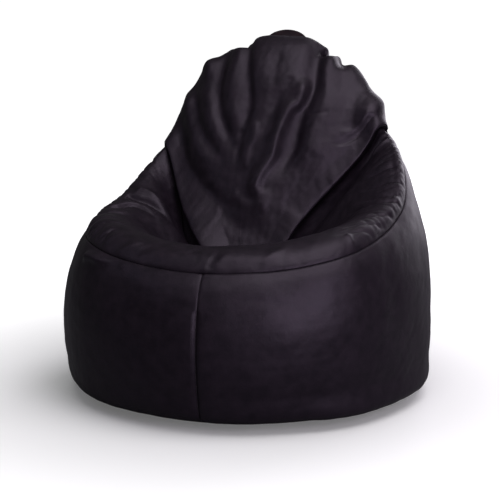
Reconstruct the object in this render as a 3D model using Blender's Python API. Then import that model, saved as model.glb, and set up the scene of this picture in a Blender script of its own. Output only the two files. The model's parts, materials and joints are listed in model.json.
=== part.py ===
"""Bean bag chair: a sewn leatherette cover with a scooped seat and a tall soft back, over a zipped
liner full of foam beads. Front faces -Y, +Z is up, the origin is on the floor under the middle.

The whole bag is one smooth loft through stations set round the chair. Every panel, the liner and
the bead fill are cut from that loft at their own depth below its surface."""

import math

import bmesh
import bpy
import numpy as np
from mathutils import Matrix, Vector

# Driving dimensions, in metres.
HALF_WIDTH = 0.440
BASE_RADIUS = 0.375
RIM_HEIGHT = 0.014
SEAT_SEAM_HEIGHT = 0.357
BACK_HEIGHT = 0.828

LEATHER = 0.0012
SEAM_GAP = 0.0020
THREAD_RADIUS = 0.0005
THREAD_END = 0.0040
LINER_GAP = 0.0006
LINER_DEPTH = LEATHER + LINER_GAP
LINER_THICKNESS = 0.0006
FILL_DEPTH = 0.0032

# The back zip follows this arc in the plane x = 0.
ZIP_ARC_RADIUS = 0.900
ZIP_ARC_Y = -0.440
ZIP_ARC_Z = 0.360
ZIP_PANEL_GAP = 0.0070
ZIP_ROWS = (0.60, 3.05)
ZIP_DIP_ROWS = (0.40, 3.60)
ZIP_SWELL = 0.0007
ZIP_BLEND = 0.100

# How far the liner and the fill dip behind the zip, to leave room for what is in front of them.
LINER_DIP = 0.0140
FILL_DIP = 0.0220

# The left arm has slumped lower than the right one: by how much, where, and how far round it reaches.
SLUMP = 0.070
SLUMP_ANGLE = 250.0
SLUMP_REACH = 68.0

# The foot of the back panel has crept round to the left, by this many degrees where it meets the pan.
FOOT_CREEP = 14.0

# The angles of the net's columns, in degrees from the front: even steps, and one more each side of
# the zip. The back panel takes the columns between the two shoulders.
SHOULDER = 135.0
ZIP_SIDE = 3.75
COLUMN_ANGLES = sorted([11.25 * step for step in range(32)] + [180 - ZIP_SIDE, 180 + ZIP_SIDE])
COLUMNS = len(COLUMN_ANGLES)
HALF = COLUMNS // 2
RIGHT_SHOULDER = COLUMN_ANGLES.index(SHOULDER)
LEFT_SHOULDER = COLUMNS - RIGHT_SHOULDER
SEAM_RING = 4
PAN_RING = 9
POLE_RING = 10
POLE = (0.0, -0.050, 0.278)
WALL_ROWS = (0.0, 0.50, 0.62, 1.2, 1.75, 2.2, 2.6, 3.0, 3.1, 3.5, 4.0)
SEAT_ROWS = (4.0, 4.5, 5.0, 5.6, 6.3, 7.0, 7.7, 8.4, 9.0)
PAN_ROWS = (9.0, 9.5)
ALL_ROWS = (*WALL_ROWS, *SEAT_ROWS[1:], *PAN_ROWS[1:])

# Each station is a profile of the bag at one angle from the front: rim, lower wall, belly, upper
# wall, seam, crest, three levels down the inside, and the edge of the seat pan.
STATIONS = {
    0: [
        (0, -BASE_RADIUS, RIM_HEIGHT), (0, -0.437, 0.080), (0, -0.460, 0.172), (0, -0.446, 0.275),
        (0, -0.398, SEAT_SEAM_HEIGHT), (0, -0.325, 0.397), (0, -0.255, 0.374), (0, -0.205, 0.334),
        (0, -0.165, 0.303), (0, -0.125, 0.286),
    ],
    45: [
        (0.264, -0.264, RIM_HEIGHT), (0.306, -0.304, 0.082), (0.322, -0.320, 0.182),
        (0.318, -0.312, 0.292), (0.296, -0.282, 0.386), (0.248, -0.232, 0.424), (0.190, -0.182, 0.399),
        (0.148, -0.150, 0.354), (0.112, -0.122, 0.312), (0.078, -0.098, 0.288),
    ],
    85: [
        (BASE_RADIUS, -0.010, RIM_HEIGHT), (0.428, -0.010, 0.082), (HALF_WIDTH, -0.010, 0.188),
        (0.426, -0.010, 0.325), (0.380, -0.012, 0.452), (0.347, -0.016, 0.478), (0.290, -0.022, 0.454),
        (0.226, -0.028, 0.396), (0.162, -0.034, 0.336), (0.102, -0.040, 0.295),
    ],
    112: [
        (0.339, 0.158, RIM_HEIGHT), (0.386, 0.180, 0.090), (0.402, 0.188, 0.215), (0.392, 0.184, 0.380),
        (0.350, 0.150, 0.530), (0.322, 0.132, 0.550), (0.266, 0.100, 0.502), (0.206, 0.066, 0.432),
        (0.146, 0.030, 0.358), (0.090, -0.006, 0.302),
    ],
    SHOULDER: [
        (0.258, 0.274, RIM_HEIGHT), (0.294, 0.314, 0.100), (0.308, 0.332, 0.255), (0.312, 0.326, 0.440),
        (0.300, 0.284, 0.578), (0.276, 0.238, 0.606), (0.228, 0.184, 0.524), (0.172, 0.122, 0.432),
        (0.120, 0.066, 0.360), (0.074, 0.018, 0.306),
    ],
    158: [
        (0.143, 0.350, RIM_HEIGHT), (0.162, 0.396, 0.112), (0.174, 0.424, 0.295), (0.188, 0.426, 0.530),
        (0.192, 0.376, 0.728), (0.181, 0.328, 0.756), (0.150, 0.252, 0.668), (0.114, 0.178, 0.540),
        (0.076, 0.106, 0.412), (0.042, 0.040, 0.308),
    ],
    180: [
        (0, BASE_RADIUS, RIM_HEIGHT), (0, 0.430, 0.115), (0, 0.4585, 0.305), (0, 0.452, 0.555),
        (0, 0.412, 0.784), (0, 0.358, BACK_HEIGHT), (0, 0.282, 0.750), (0, 0.204, 0.608),
        (0, 0.124, 0.452), (0, 0.046, 0.310),
    ],
}


# ---------------------------------------------------------------- the loft

def smooth_through(knots, points, at):
    """A smooth curve through points set at rising knots, read at one place."""
    knots = np.asarray(knots, float)
    points = np.asarray(points, float)
    slopes = np.gradient(points, knots, axis=0)
    i = int(np.clip(np.searchsorted(knots, at, side="right") - 1, 0, len(knots) - 2))
    step = knots[i + 1] - knots[i]
    t = (at - knots[i]) / step
    return (
        (2 * t**3 - 3 * t**2 + 1) * points[i]
        + (t**3 - 2 * t**2 + t) * step * slopes[i]
        + (3 * t**2 - 2 * t**3) * points[i + 1]
        + (t**3 - t**2) * step * slopes[i + 1]
    )


def ring_knots():
    """The stations all the way round, the left side mirrored from the right, with some to spare."""
    angles = sorted(STATIONS)
    signed = [(a, 1) for a in angles] + [(-a, -1) for a in angles if 0 < a < 180]
    turns = [(a + turn, a * side, side) for a, side in signed for turn in (-360, 0, 360)]
    turns = sorted(turns)
    knots = [angle for angle, _, _ in turns]
    rings = [np.array(STATIONS[abs(base)], float) * (side, 1, 1) for _, base, side in turns]
    return knots, np.array(rings)


KNOTS, RINGS = ring_knots()


def zip_arc_y(z):
    """Where the zip's arc is at a height."""
    return ZIP_ARC_Y + math.sqrt(ZIP_ARC_RADIUS**2 - (z - ZIP_ARC_Z) ** 2)


def loft(angle, ring):
    """A point of the bag's surface: angle in degrees from the front, ring 0 at the rim to 10 in the pan."""
    low = min(1.0, max(0.0, (ring - 5.3) / 3.7))
    angle = angle + FOOT_CREEP * low**2 * (3 - 2 * low)
    profile = np.vstack([smooth_through(KNOTS, RINGS, angle), POLE])
    x, y, z = smooth_through(range(POLE_RING + 1), profile, ring)
    turn = min(1.0, abs(angle % 360 - SLUMP_ANGLE) / SLUMP_REACH)
    z -= SLUMP * (1 - turn**2) ** 2 * math.sin(math.pi * min(1.0, ring / PAN_RING)) ** 2
    if ring <= 3.5 and y > 0 and abs(x) < ZIP_BLEND:
        hold = (1 - (x / ZIP_BLEND) ** 2) ** 2 * min(1.0, ring / 0.5, max(0.0, (3.5 - ring) / 0.4))
        y += hold * (zip_arc_y(z) + ZIP_SWELL - y)
    return np.array((x, y, z))


def column_angle(column):
    return COLUMN_ANGLES[column % COLUMNS]


class Net:
    """The bag's surface as triangles over the columns and rows, with a direction out of each point.
    Behind the zip the surface can be made to dip inwards."""

    def __init__(self, dip=0.0):
        self.points = {}
        self.cells = {}
        pole = (-1, POLE_RING)
        self.points[pole] = np.array(POLE)
        for column in range(COLUMNS):
            for row in ALL_ROWS:
                self.points[column, row] = loft(column_angle(column), row)
        for column in range(COLUMNS):
            after = (column + 1) % COLUMNS
            for low, high in zip(ALL_ROWS, ALL_ROWS[1:]):
                corners = [(column, low), (after, low), (after, high), (column, high)]
                self.cells[column, low] = self.split(*corners)
            last = ALL_ROWS[-1]
            self.cells[column, last] = [[(column, last), (after, last), pole]]
        self.normals = self.directions()
        for column in (HALF - 1, HALF, HALF + 1):
            for row in WALL_ROWS:
                if ZIP_DIP_ROWS[0] < row < ZIP_DIP_ROWS[1]:
                    self.points[column, row] = self.points[column, row] - self.normals[column, row] * dip

    def split(self, a, b, c, d):
        """Two triangles for a cell, split at its shorter diagonal."""
        rising = np.linalg.norm(self.points[a] - self.points[c])
        falling = np.linalg.norm(self.points[b] - self.points[d])
        return [[a, b, c], [a, c, d]] if rising < falling else [[a, b, d], [b, c, d]]

    def directions(self):
        """The direction out of each point: the mean of its triangles' normals, weighted by corner."""
        total = {key: np.zeros(3) for key in self.points}
        for face in (face for cell in self.cells.values() for face in cell):
            corners = [Vector(self.points[key]) for key in face]
            normal = (corners[1] - corners[0]).cross(corners[2] - corners[0]).normalized()
            for i, key in enumerate(face):
                there = corners[i - 2] - corners[i]
                back = corners[i - 1] - corners[i]
                total[key] += np.array(normal) * there.angle(back)
        return {key: value / np.linalg.norm(value) for key, value in total.items()}

    def patch(self, first, last, low, high):
        """The triangles between two columns and two rows."""
        rows = [row for row in ALL_ROWS if low <= row < high]
        cells = [self.cells[column % COLUMNS, row] for column in range(first, last) for row in rows]
        return [face for cell in cells for face in cell]


# ---------------------------------------------------------------- making solids

MATERIALS = {
    "leatherette": ((0.030, 0.027, 0.031), 0.42, 0.0),
    "thread": ((0.045, 0.040, 0.046), 0.60, 0.0),
    "zip_tape": ((0.018, 0.018, 0.020), 0.85, 0.0),
    "zip_coil": ((0.022, 0.022, 0.024), 0.35, 0.0),
    "zip_metal": ((0.100, 0.098, 0.100), 0.32, 1.0),
    "liner_cloth": ((0.780, 0.780, 0.760), 0.80, 0.0),
    "bead_foam": ((0.900, 0.900, 0.890), 0.70, 0.0),
    "label_cloth": ((0.800, 0.790, 0.760), 0.75, 0.0),
}


def material(slot):
    found = bpy.data.materials.get(slot)
    if found:
        return found
    colour, roughness, metallic = MATERIALS[slot]
    made = bpy.data.materials.new(slot)
    made.use_nodes = True
    shader = made.node_tree.nodes["Principled BSDF"]
    shader.inputs["Base Color"].default_value = (*colour, 1.0)
    shader.inputs["Roughness"].default_value = roughness
    shader.inputs["Metallic"].default_value = metallic
    return made


def add_object(name, data, slot):
    made = bpy.data.objects.new(name, data)
    data.materials.append(material(slot))
    bpy.context.scene.collection.objects.link(made)
    return made


def add_mesh(name, points, faces, slot):
    """An object from points and faces, its normals made to point out."""
    mesh = bpy.data.meshes.new(name)
    shape = bmesh.new()
    corners = [shape.verts.new(Vector(p)) for p in points]
    for face in faces:
        shape.faces.new([corners[i] for i in face])
    bmesh.ops.recalc_face_normals(shape, faces=shape.faces)
    shape.to_mesh(mesh)
    shape.free()
    mesh.shade_smooth()
    mesh.set_sharp_from_angle(angle=math.radians(40))
    return add_object(name, mesh, slot)


def outline_of(faces):
    """The directed edges that only one face uses."""
    edges = [(face[i - 1], face[i]) for face in faces for i in range(len(face))]
    return [edge for edge in edges if edge[::-1] not in set(edges)]


def trim_of(key):
    """How far a panel stops short of its seam: more where the seam is left open for the zip."""
    column, row = key
    return ZIP_PANEL_GAP if column == HALF and ZIP_ROWS[0] < row < ZIP_ROWS[1] else SEAM_GAP / 2


def trimmed(net, faces):
    """The net's points with the panel's outline drawn in, so that sewn neighbours stay apart."""
    inward = {}
    for a, b in outline_of(faces):
        along = net.points[b] - net.points[a]
        side = np.cross(net.normals[a] + net.normals[b], along)
        side = side / np.linalg.norm(side)
        for key in (a, b):
            inward.setdefault(key, []).append(side)
    points = {key: net.points[key].copy() for face in faces for key in face}
    for key, sides in inward.items():
        total = np.sum(sides, axis=0)
        total = total / np.linalg.norm(total)
        spread = max(0.5, float(np.dot(total, sides[0])))
        points[key] = points[key] + total * trim_of(key) / spread
    return points


def add_shell(name, net, faces, depth, thickness, slot):
    """A thin closed panel, from depth below the bag's surface to depth + thickness."""
    points = trimmed(net, faces)
    keys = sorted(points)
    index = {key: i for i, key in enumerate(keys)}
    outer = [points[key] - net.normals[key] * depth for key in keys]
    inner = [points[key] - net.normals[key] * (depth + thickness) for key in keys]
    skins = [[index[key] for key in face] for face in faces]
    backs = [[index[key] + len(keys) for key in reversed(face)] for face in faces]
    edges = [
        [index[b], index[a], index[a] + len(keys), index[b] + len(keys)] for a, b in outline_of(faces)
    ]
    return add_mesh(name, outer + inner, skins + backs + edges, slot)


def add_tube(name, path, radius, slot, closed=False):
    """A square-section thread along a path."""
    curve = bpy.data.curves.new(name, "CURVE")
    curve.dimensions = "3D"
    curve.bevel_depth = radius
    curve.bevel_resolution = 0
    curve.use_fill_caps = True
    line = curve.splines.new("POLY")
    line.points.add(len(path) - 1)
    for point, place in zip(line.points, path):
        point.co = (*place, 1.0)
    line.use_cyclic_u = closed
    return add_object(name, curve, slot)


# ---------------------------------------------------------------- the cover

def add_cover(net):
    """The panels that are sewn into the cover: two side panels, the seat and the back."""
    panels = {
        "side_panel_right": net.patch(0, HALF, 0, SEAM_RING),
        "side_panel_left": net.patch(HALF, COLUMNS, 0, SEAM_RING),
        "seat_panel": net.patch(-RIGHT_SHOULDER, RIGHT_SHOULDER, SEAM_RING, PAN_RING)
        + net.patch(0, COLUMNS, PAN_RING, POLE_RING),
        "backrest_panel": net.patch(RIGHT_SHOULDER, LEFT_SHOULDER, SEAM_RING, PAN_RING),
    }
    for name, faces in panels.items():
        add_shell(name, net, faces, 0.0, LEATHER, "leatherette")


def add_disc(name, floor, edge_radius, thickness, slot):
    """A round base: flat below, and turned up to meet the walls round its edge."""
    bend = 0.90 * BASE_RADIUS
    slope = (RIM_HEIGHT - LEATHER - SEAM_GAP / 2) / (BASE_RADIUS - bend)
    rings = ((0.55 * BASE_RADIUS, 0.0), (bend, 0.0), (edge_radius, slope * (edge_radius - bend)))
    points, faces = [], []
    for lift in (floor, floor + thickness):
        points.append((0.0, 0.0, lift))
        for radius, height in rings:
            for column in range(COLUMNS):
                turn = math.radians(column_angle(column))
                points.append((radius * math.sin(turn), -radius * math.cos(turn), height + lift))
    layer = 1 + len(rings) * COLUMNS
    edge = 1 + (len(rings) - 1) * COLUMNS
    for column in range(COLUMNS):
        after = (column + 1) % COLUMNS
        for start in (0, layer):
            faces.append((start, start + 1 + column, start + 1 + after))
            for ring in range(len(rings) - 1):
                low = start + 1 + ring * COLUMNS
                high = low + COLUMNS
                faces.append((low + column, high + column, high + after, low + after))
        faces.append((edge + column, edge + after, layer + edge + after, layer + edge + column))
    add_mesh(name, points, faces, slot)


def seam_path(net, columns, rows):
    """A seam's line over columns or rows of the net, half way through the leather."""
    keys = [(column % COLUMNS, row) for column in columns for row in rows]
    return [net.points[key] - net.normals[key] * LEATHER / 2 for key in keys]


def cut_short(path, length):
    """The path with its two ends drawn in, clear of the threads that it meets."""
    path = [Vector(p) for p in path]
    first = path[0] + (path[1] - path[0]).normalized() * length
    last = path[-1] + (path[-2] - path[-1]).normalized() * length
    return [first, *path[1:-1], last]


def add_threads(net):
    """The lines of stitching that close the cover's seams."""
    back = range(RIGHT_SHOULDER, LEFT_SHOULDER + 1)
    seat = range(-RIGHT_SHOULDER, RIGHT_SHOULDER + 1)
    above_zip = [row for row in WALL_ROWS if row > ZIP_ROWS[1]]
    paths = {
        "front_seam_thread": seam_path(net, [0], WALL_ROWS),
        "rear_seam_thread": seam_path(net, [HALF], above_zip),
        "seat_seam_thread": seam_path(net, seat, [SEAM_RING]),
        "crown_seam_thread": seam_path(net, back, [SEAM_RING]),
        "backrest_seam_thread": seam_path(net, back[:1], SEAT_ROWS)
        + seam_path(net, back[1:-1], [PAN_RING])
        + seam_path(net, back[-1:], SEAT_ROWS[::-1]),
    }
    for name, path in paths.items():
        add_tube(name, cut_short(path, THREAD_END), THREAD_RADIUS, "thread")
    turns = [math.radians(column_angle(c)) for c in range(COLUMNS)]
    height = RIM_HEIGHT - LEATHER / 2
    rim = [(BASE_RADIUS * math.sin(t), -BASE_RADIUS * math.cos(t), height) for t in turns]
    add_tube("base_seam_thread", rim, THREAD_RADIUS, "thread", closed=True)


# ---------------------------------------------------------------- liner and fill

def add_liner():
    """The inner bag: two halves joined front and rear, and a round base, with its own zip."""
    net = Net(dip=LINER_DIP)
    for name, first, last in (("liner_right", 0, HALF), ("liner_left", HALF, COLUMNS)):
        faces = net.patch(first, last, 0, POLE_RING)
        add_shell(name, net, faces, LINER_DEPTH, LINER_THICKNESS, "liner_cloth")
    floor = LEATHER + LINER_GAP
    add_disc("liner_base", floor, BASE_RADIUS - LINER_DEPTH - 0.001, LINER_THICKNESS, "liner_cloth")


def add_fill():
    """The foam beads, which fill the liner as one soft mass."""
    net = Net(dip=FILL_DIP)
    faces = net.patch(0, COLUMNS, 0, POLE_RING)
    keys = sorted(net.points)
    index = {key: i for i, key in enumerate(keys)}
    points = [net.points[key] - net.normals[key] * FILL_DEPTH for key in keys]
    skins = [[index[key] for key in face] for face in faces]
    rim = [index[column, 0.0] for column in range(COLUMNS)]
    low, radius = len(points), 0.90 * BASE_RADIUS
    for column in range(COLUMNS):
        turn = math.radians(column_angle(column))
        points.append((radius * math.sin(turn), -radius * math.cos(turn), FILL_DEPTH))
    for column in range(COLUMNS):
        after = (column + 1) % COLUMNS
        skins.append([low + column, low + after, rim[after], rim[column]])
    skins.append([low + column for column in reversed(range(COLUMNS))])
    add_mesh("bead_fill", points, skins, "bead_foam")


# ---------------------------------------------------------------- zips

ZIP_INSET = 0.0006
TAPE_LOW, TAPE_HIGH = 0.062, 0.585
TAPE_IN, TAPE_OUT = 0.0016, 0.0160
TAPE_DEPTH, TAPE_THICKNESS = 0.0026, 0.0008
COIL_IN, COIL_OUT = 0.0008, 0.0034
COIL_TOP, COIL_BOTTOM = -0.0002, 0.0022
SLIDER_LENGTH = 0.024
SLIDER_HALF_WIDTH = 0.0060
STOP_LENGTH = 0.004
PULL_PIN_HEIGHT = 0.0044
PULL_PIN_RADIUS = 0.0008
PULL_LENGTH = 0.030
SLIDER_REST = 0.112
SLIDER_TOP = 0.530


def arc_angle(z):
    """The angle of a height on the zip's arc, from level."""
    return math.asin((z - ZIP_ARC_Z) / ZIP_ARC_RADIUS)


def arc_frame(angle, depth):
    """A frame on the arc: its X is the chair's X, its Y points out of the back, its Z up along the zip."""
    radius = ZIP_ARC_RADIUS - depth
    y, z = ZIP_ARC_Y + radius * math.cos(angle), ZIP_ARC_Z + radius * math.sin(angle)
    return Matrix.Translation((0, y, z)) @ Matrix.Rotation(angle, 4, "X")


def add_arc_bar(name, inner, outer, top, bottom, low, high, depth, slot):
    """A bar of rectangular section swept along the zip's arc, between two angles."""
    shape = bmesh.new()
    section = [(inner, -top), (outer, -top), (outer, -bottom), (inner, -bottom)]
    frame = arc_frame(low, depth)
    corners = [shape.verts.new(frame @ Vector((x, y, 0))) for x, y in section]
    face = shape.faces.new(corners)
    steps = max(1, round((high - low) / math.radians(1.4)))
    bmesh.ops.spin(
        shape, geom=[*corners, *face.edges, face], cent=(0, ZIP_ARC_Y, ZIP_ARC_Z), axis=(1, 0, 0),
        angle=high - low, steps=steps,
    )
    bmesh.ops.recalc_face_normals(shape, faces=shape.faces)
    mesh = bpy.data.meshes.new(name)
    shape.to_mesh(mesh)
    shape.free()
    return add_object(name, mesh, slot)


def add_box(shape, low, high):
    """A box between two corners, added to a bmesh."""
    low, high = Vector(low), Vector(high)
    size = high - low
    place = Matrix.Translation((low + high) / 2) @ Matrix.Diagonal((*size, 1))
    bmesh.ops.create_cube(shape, size=1.0, matrix=place)


def add_block(name, low, high, slot, frame=None):
    """A box between two corners, in a frame."""
    shape = bmesh.new()
    add_box(shape, low, high)
    mesh = bpy.data.meshes.new(name)
    shape.to_mesh(mesh)
    shape.free()
    made = add_object(name, mesh, slot)
    made.matrix_world = frame or Matrix()
    return made


def joined(name, boxes, slot):
    """One solid from overlapping boxes, by Boolean union."""
    parts = []
    for i, (low, high) in enumerate(boxes):
        parts.append(add_block(name if i == 0 else f"{name}_{i}", low, high, slot))
    for helper in parts[1:]:
        union = parts[0].modifiers.new(helper.name, "BOOLEAN")
        union.operation = "UNION"
        union.object = helper
        helper.parent = parts[0]
        helper.hide_render = True
        helper.display_type = "WIRE"
    return parts[0]


def slider_boxes(with_bail):
    """The slider's two plates, the post between them, its side lips and the bail over the top."""
    half, reach = SLIDER_LENGTH / 2, SLIDER_HALF_WIDTH
    boxes = [
        ((-reach, 0.0008, -half), (reach, 0.0026, half)),
        ((-reach, -0.0056, -half), (reach, -0.0038, half)),
        ((-0.0004, -0.0040, -half + 0.001), (0.0004, 0.0010, -half + 0.008)),
        ((-reach, -0.0021, -half), (-0.0040, 0.0010, half)),
        ((0.0040, -0.0021, -half), (reach, 0.0010, half)),
    ]
    if with_bail:
        boxes += [
            ((-0.0012, 0.0024, 0.0030), (0.0012, 0.0072, 0.0046)),
            ((-0.0012, 0.0024, -0.0046), (0.0012, 0.0072, -0.0030)),
            ((-0.0012, 0.0059, -0.0046), (0.0012, 0.0072, 0.0046)),
        ]
    return boxes


def add_slider(name, depth, with_bail):
    """A slider at the closed end of its zip."""
    made = joined(name, slider_boxes(with_bail), "zip_metal")
    made.matrix_world = arc_frame(arc_angle(SLIDER_REST), depth)


def add_pull():
    """The pull tab: a pin through the bail, two arms past it and a flat tab, hanging plumb."""
    arm_in, arm_out, half = 0.0018, 0.0034, 0.0007
    boxes = [
        ((-arm_out, -PULL_PIN_RADIUS, -PULL_PIN_RADIUS), (arm_out, PULL_PIN_RADIUS, PULL_PIN_RADIUS)),
        ((-arm_out, -half, -0.0100), (-arm_in, half, PULL_PIN_RADIUS)),
        ((arm_in, -half, -0.0100), (arm_out, half, PULL_PIN_RADIUS)),
        ((-0.0045, -half, -PULL_LENGTH), (0.0045, half, -0.0090)),
    ]
    made = joined("zip_pull", boxes, "zip_metal")
    axis = arc_frame(arc_angle(SLIDER_REST), ZIP_INSET) @ Vector((0, PULL_PIN_HEIGHT, 0))
    made.matrix_world = Matrix.Translation(axis)


def add_zip(prefix, depth, with_pull):
    """Two tapes, two coils, a stop at each end, and the slider, all at one depth behind the surface."""
    rest, top = arc_angle(SLIDER_REST), arc_angle(SLIDER_TOP)
    clear = (SLIDER_LENGTH / 2 + 0.002) / ZIP_ARC_RADIUS
    stop = STOP_LENGTH / ZIP_ARC_RADIUS
    coil_low, coil_high = rest - clear, top + clear
    tape_low, tape_high = arc_angle(TAPE_LOW), arc_angle(TAPE_HIGH)
    for side, sign in (("right", 1), ("left", -1)):
        add_arc_bar(
            f"{prefix}_tape_{side}", sign * TAPE_IN, sign * TAPE_OUT, TAPE_DEPTH,
            TAPE_DEPTH + TAPE_THICKNESS, tape_low, tape_high, depth, "zip_tape",
        )
        add_arc_bar(
            f"{prefix}_coil_{side}", sign * COIL_IN, sign * COIL_OUT, COIL_TOP, COIL_BOTTOM,
            coil_low, coil_high, depth, "zip_coil",
        )
    for end, low, high in (
        ("lower", coil_low - stop - 0.0005, coil_low - 0.0005),
        ("upper", coil_high + 0.0005, coil_high + stop + 0.0005),
    ):
        add_arc_bar(
            f"{prefix}_stop_{end}", -COIL_OUT, COIL_OUT, COIL_TOP, COIL_BOTTOM, low, high, depth, "zip_metal"
        )
    add_slider(f"{prefix}_slider", depth, with_pull)
    if with_pull:
        add_pull()


# ---------------------------------------------------------------- handle and label

HANDLE_HALF_SPAN = 0.050
HANDLE_WIDTH = 0.022
HANDLE_THICKNESS = 0.0030
HANDLE_RISE = 0.060
HANDLE_AXIS_HEIGHT = 0.0080
HANDLE_END_GAP = 0.0022
HANDLE_REST = 24.0


def add_handle(net):
    """The carry handle: a flat arched strap, hinged on two tabs that are sewn into the crown seam."""
    seam, out = net.points[HALF, SEAM_RING], net.normals[HALF, SEAM_RING]
    crown = Matrix.Translation(seam) @ Matrix.Rotation(-math.atan2(out[1], out[2]), 4, "X")
    hinge = Matrix.Translation(crown @ Vector((0, 0, HANDLE_AXIS_HEIGHT)))
    half, thick, reach = HANDLE_HALF_SPAN, HANDLE_THICKNESS / 2, HANDLE_WIDTH / 2
    seam_line = sorted(tuple(net.points[column, SEAM_RING]) for column in range(HALF - 2, HALF + 3))
    along, back, up = zip(*seam_line)
    for side, sign in (("left", -1), ("right", 1)):
        points = []
        for x in (sign * half - reach, sign * half + reach):
            place = Vector((x, np.interp(x, along, back), np.interp(x, along, up)))
            foot = crown.inverted() @ place
            for y in (-thick, thick):
                points.append((x, foot.y + y, foot.z + 0.0006))
                points.append((x, y, HANDLE_AXIS_HEIGHT - HANDLE_END_GAP))
        faces = [(0, 1, 3, 2), (4, 5, 7, 6), (0, 1, 5, 4), (2, 3, 7, 6), (0, 2, 6, 4), (1, 3, 7, 5)]
        add_mesh(f"handle_tab_{side}", points, faces, "leatherette").matrix_world = crown
    steps = 14
    rise = HANDLE_RISE - HANDLE_AXIS_HEIGHT
    section = []
    for span, height in ((half + reach, rise), (half - reach, rise - HANDLE_WIDTH)):
        turns = [math.pi * step / steps for step in range(steps + 1)]
        arch = [(-span * math.cos(t), HANDLE_END_GAP + height * math.sin(t) ** 0.8) for t in turns]
        section += arch if not section else arch[::-1]
    points = [(x, y, z) for y in (-thick, thick) for x, z in section]
    count = len(section)
    faces = []
    for a in range(steps):
        quad = (a, a + 1, count - 2 - a, count - 1 - a)
        faces += [quad, tuple(count + i for i in reversed(quad))]
    for i in range(count):
        j = (i + 1) % count
        faces.append((i, j, count + j, count + i))
    strap = add_mesh("handle_strap", points, faces, "leatherette")
    strap.matrix_world = hinge @ Matrix.Rotation(-math.radians(HANDLE_REST), 4, "X")


LABEL_SIZE = (0.040, 0.0006, 0.026)
LABEL_LIFT = 0.0016


def add_label(net):
    """The blank care label, lying on the back beside the zip, just above the base seam."""
    rows = [row for row in WALL_ROWS if 1.0 < row < 2.0]
    corners = [Vector(net.points[column, row]) for row in rows for column in (HALF - 2, HALF - 1)]
    low_far, low_near, high_far, high_near = corners
    out = (high_far - low_near).cross(high_near - low_far).normalized()
    out = out if out.y > 0 else -out
    z = (Vector((0, 0, 1)) - out * out.z).normalized()
    turn = Matrix((out.cross(z), out, z)).transposed().to_4x4()
    half = Vector(LABEL_SIZE) / 2
    frame = Matrix.Translation(sum(corners, Vector()) / 4 + out * LABEL_LIFT) @ turn
    add_block("care_label", -half, half, "label_cloth", frame)


# ---------------------------------------------------------------- the chair

def build():
    for old in list(bpy.data.objects):
        bpy.data.objects.remove(old)
    net = Net()
    add_cover(net)
    add_disc("base_panel", 0.0, BASE_RADIUS - SEAM_GAP / 2, LEATHER, "leatherette")
    add_threads(net)
    add_liner()
    add_fill()
    add_zip("zip", ZIP_INSET, with_pull=True)
    add_zip("liner_zip", ZIP_INSET + LINER_DEPTH + LINER_DIP, with_pull=False)
    add_handle(net)
    add_label(net)


build()
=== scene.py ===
import json
import math
import random

import bmesh
import bpy
import numpy as np
from mathutils import Matrix, Vector


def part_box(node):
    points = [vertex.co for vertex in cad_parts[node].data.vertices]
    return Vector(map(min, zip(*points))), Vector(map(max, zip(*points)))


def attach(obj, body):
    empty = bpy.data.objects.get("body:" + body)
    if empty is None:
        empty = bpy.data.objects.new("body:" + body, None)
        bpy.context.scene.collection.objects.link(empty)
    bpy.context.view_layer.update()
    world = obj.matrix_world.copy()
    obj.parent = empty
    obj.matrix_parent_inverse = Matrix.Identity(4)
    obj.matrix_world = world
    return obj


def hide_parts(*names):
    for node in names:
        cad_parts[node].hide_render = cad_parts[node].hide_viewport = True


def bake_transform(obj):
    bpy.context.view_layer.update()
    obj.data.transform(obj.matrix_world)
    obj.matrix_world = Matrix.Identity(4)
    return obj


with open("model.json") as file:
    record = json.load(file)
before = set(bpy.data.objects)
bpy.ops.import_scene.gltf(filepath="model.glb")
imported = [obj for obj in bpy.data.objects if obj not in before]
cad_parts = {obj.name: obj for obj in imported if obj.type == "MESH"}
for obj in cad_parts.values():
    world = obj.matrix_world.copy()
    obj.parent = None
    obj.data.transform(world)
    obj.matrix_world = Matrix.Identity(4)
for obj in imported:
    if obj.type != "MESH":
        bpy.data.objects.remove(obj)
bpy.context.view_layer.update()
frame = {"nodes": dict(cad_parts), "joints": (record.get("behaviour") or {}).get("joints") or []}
bpy.ops.object.select_all(action="DESELECT")

# ---------------------------------------------------------------- the stuffed bag
# The bag's plain form before any seam or fold: a full skin over loose beads, low at the front, with
# two arms and a tall back. It is set by seven profiles round the bag, and every panel is cut from it.

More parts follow.
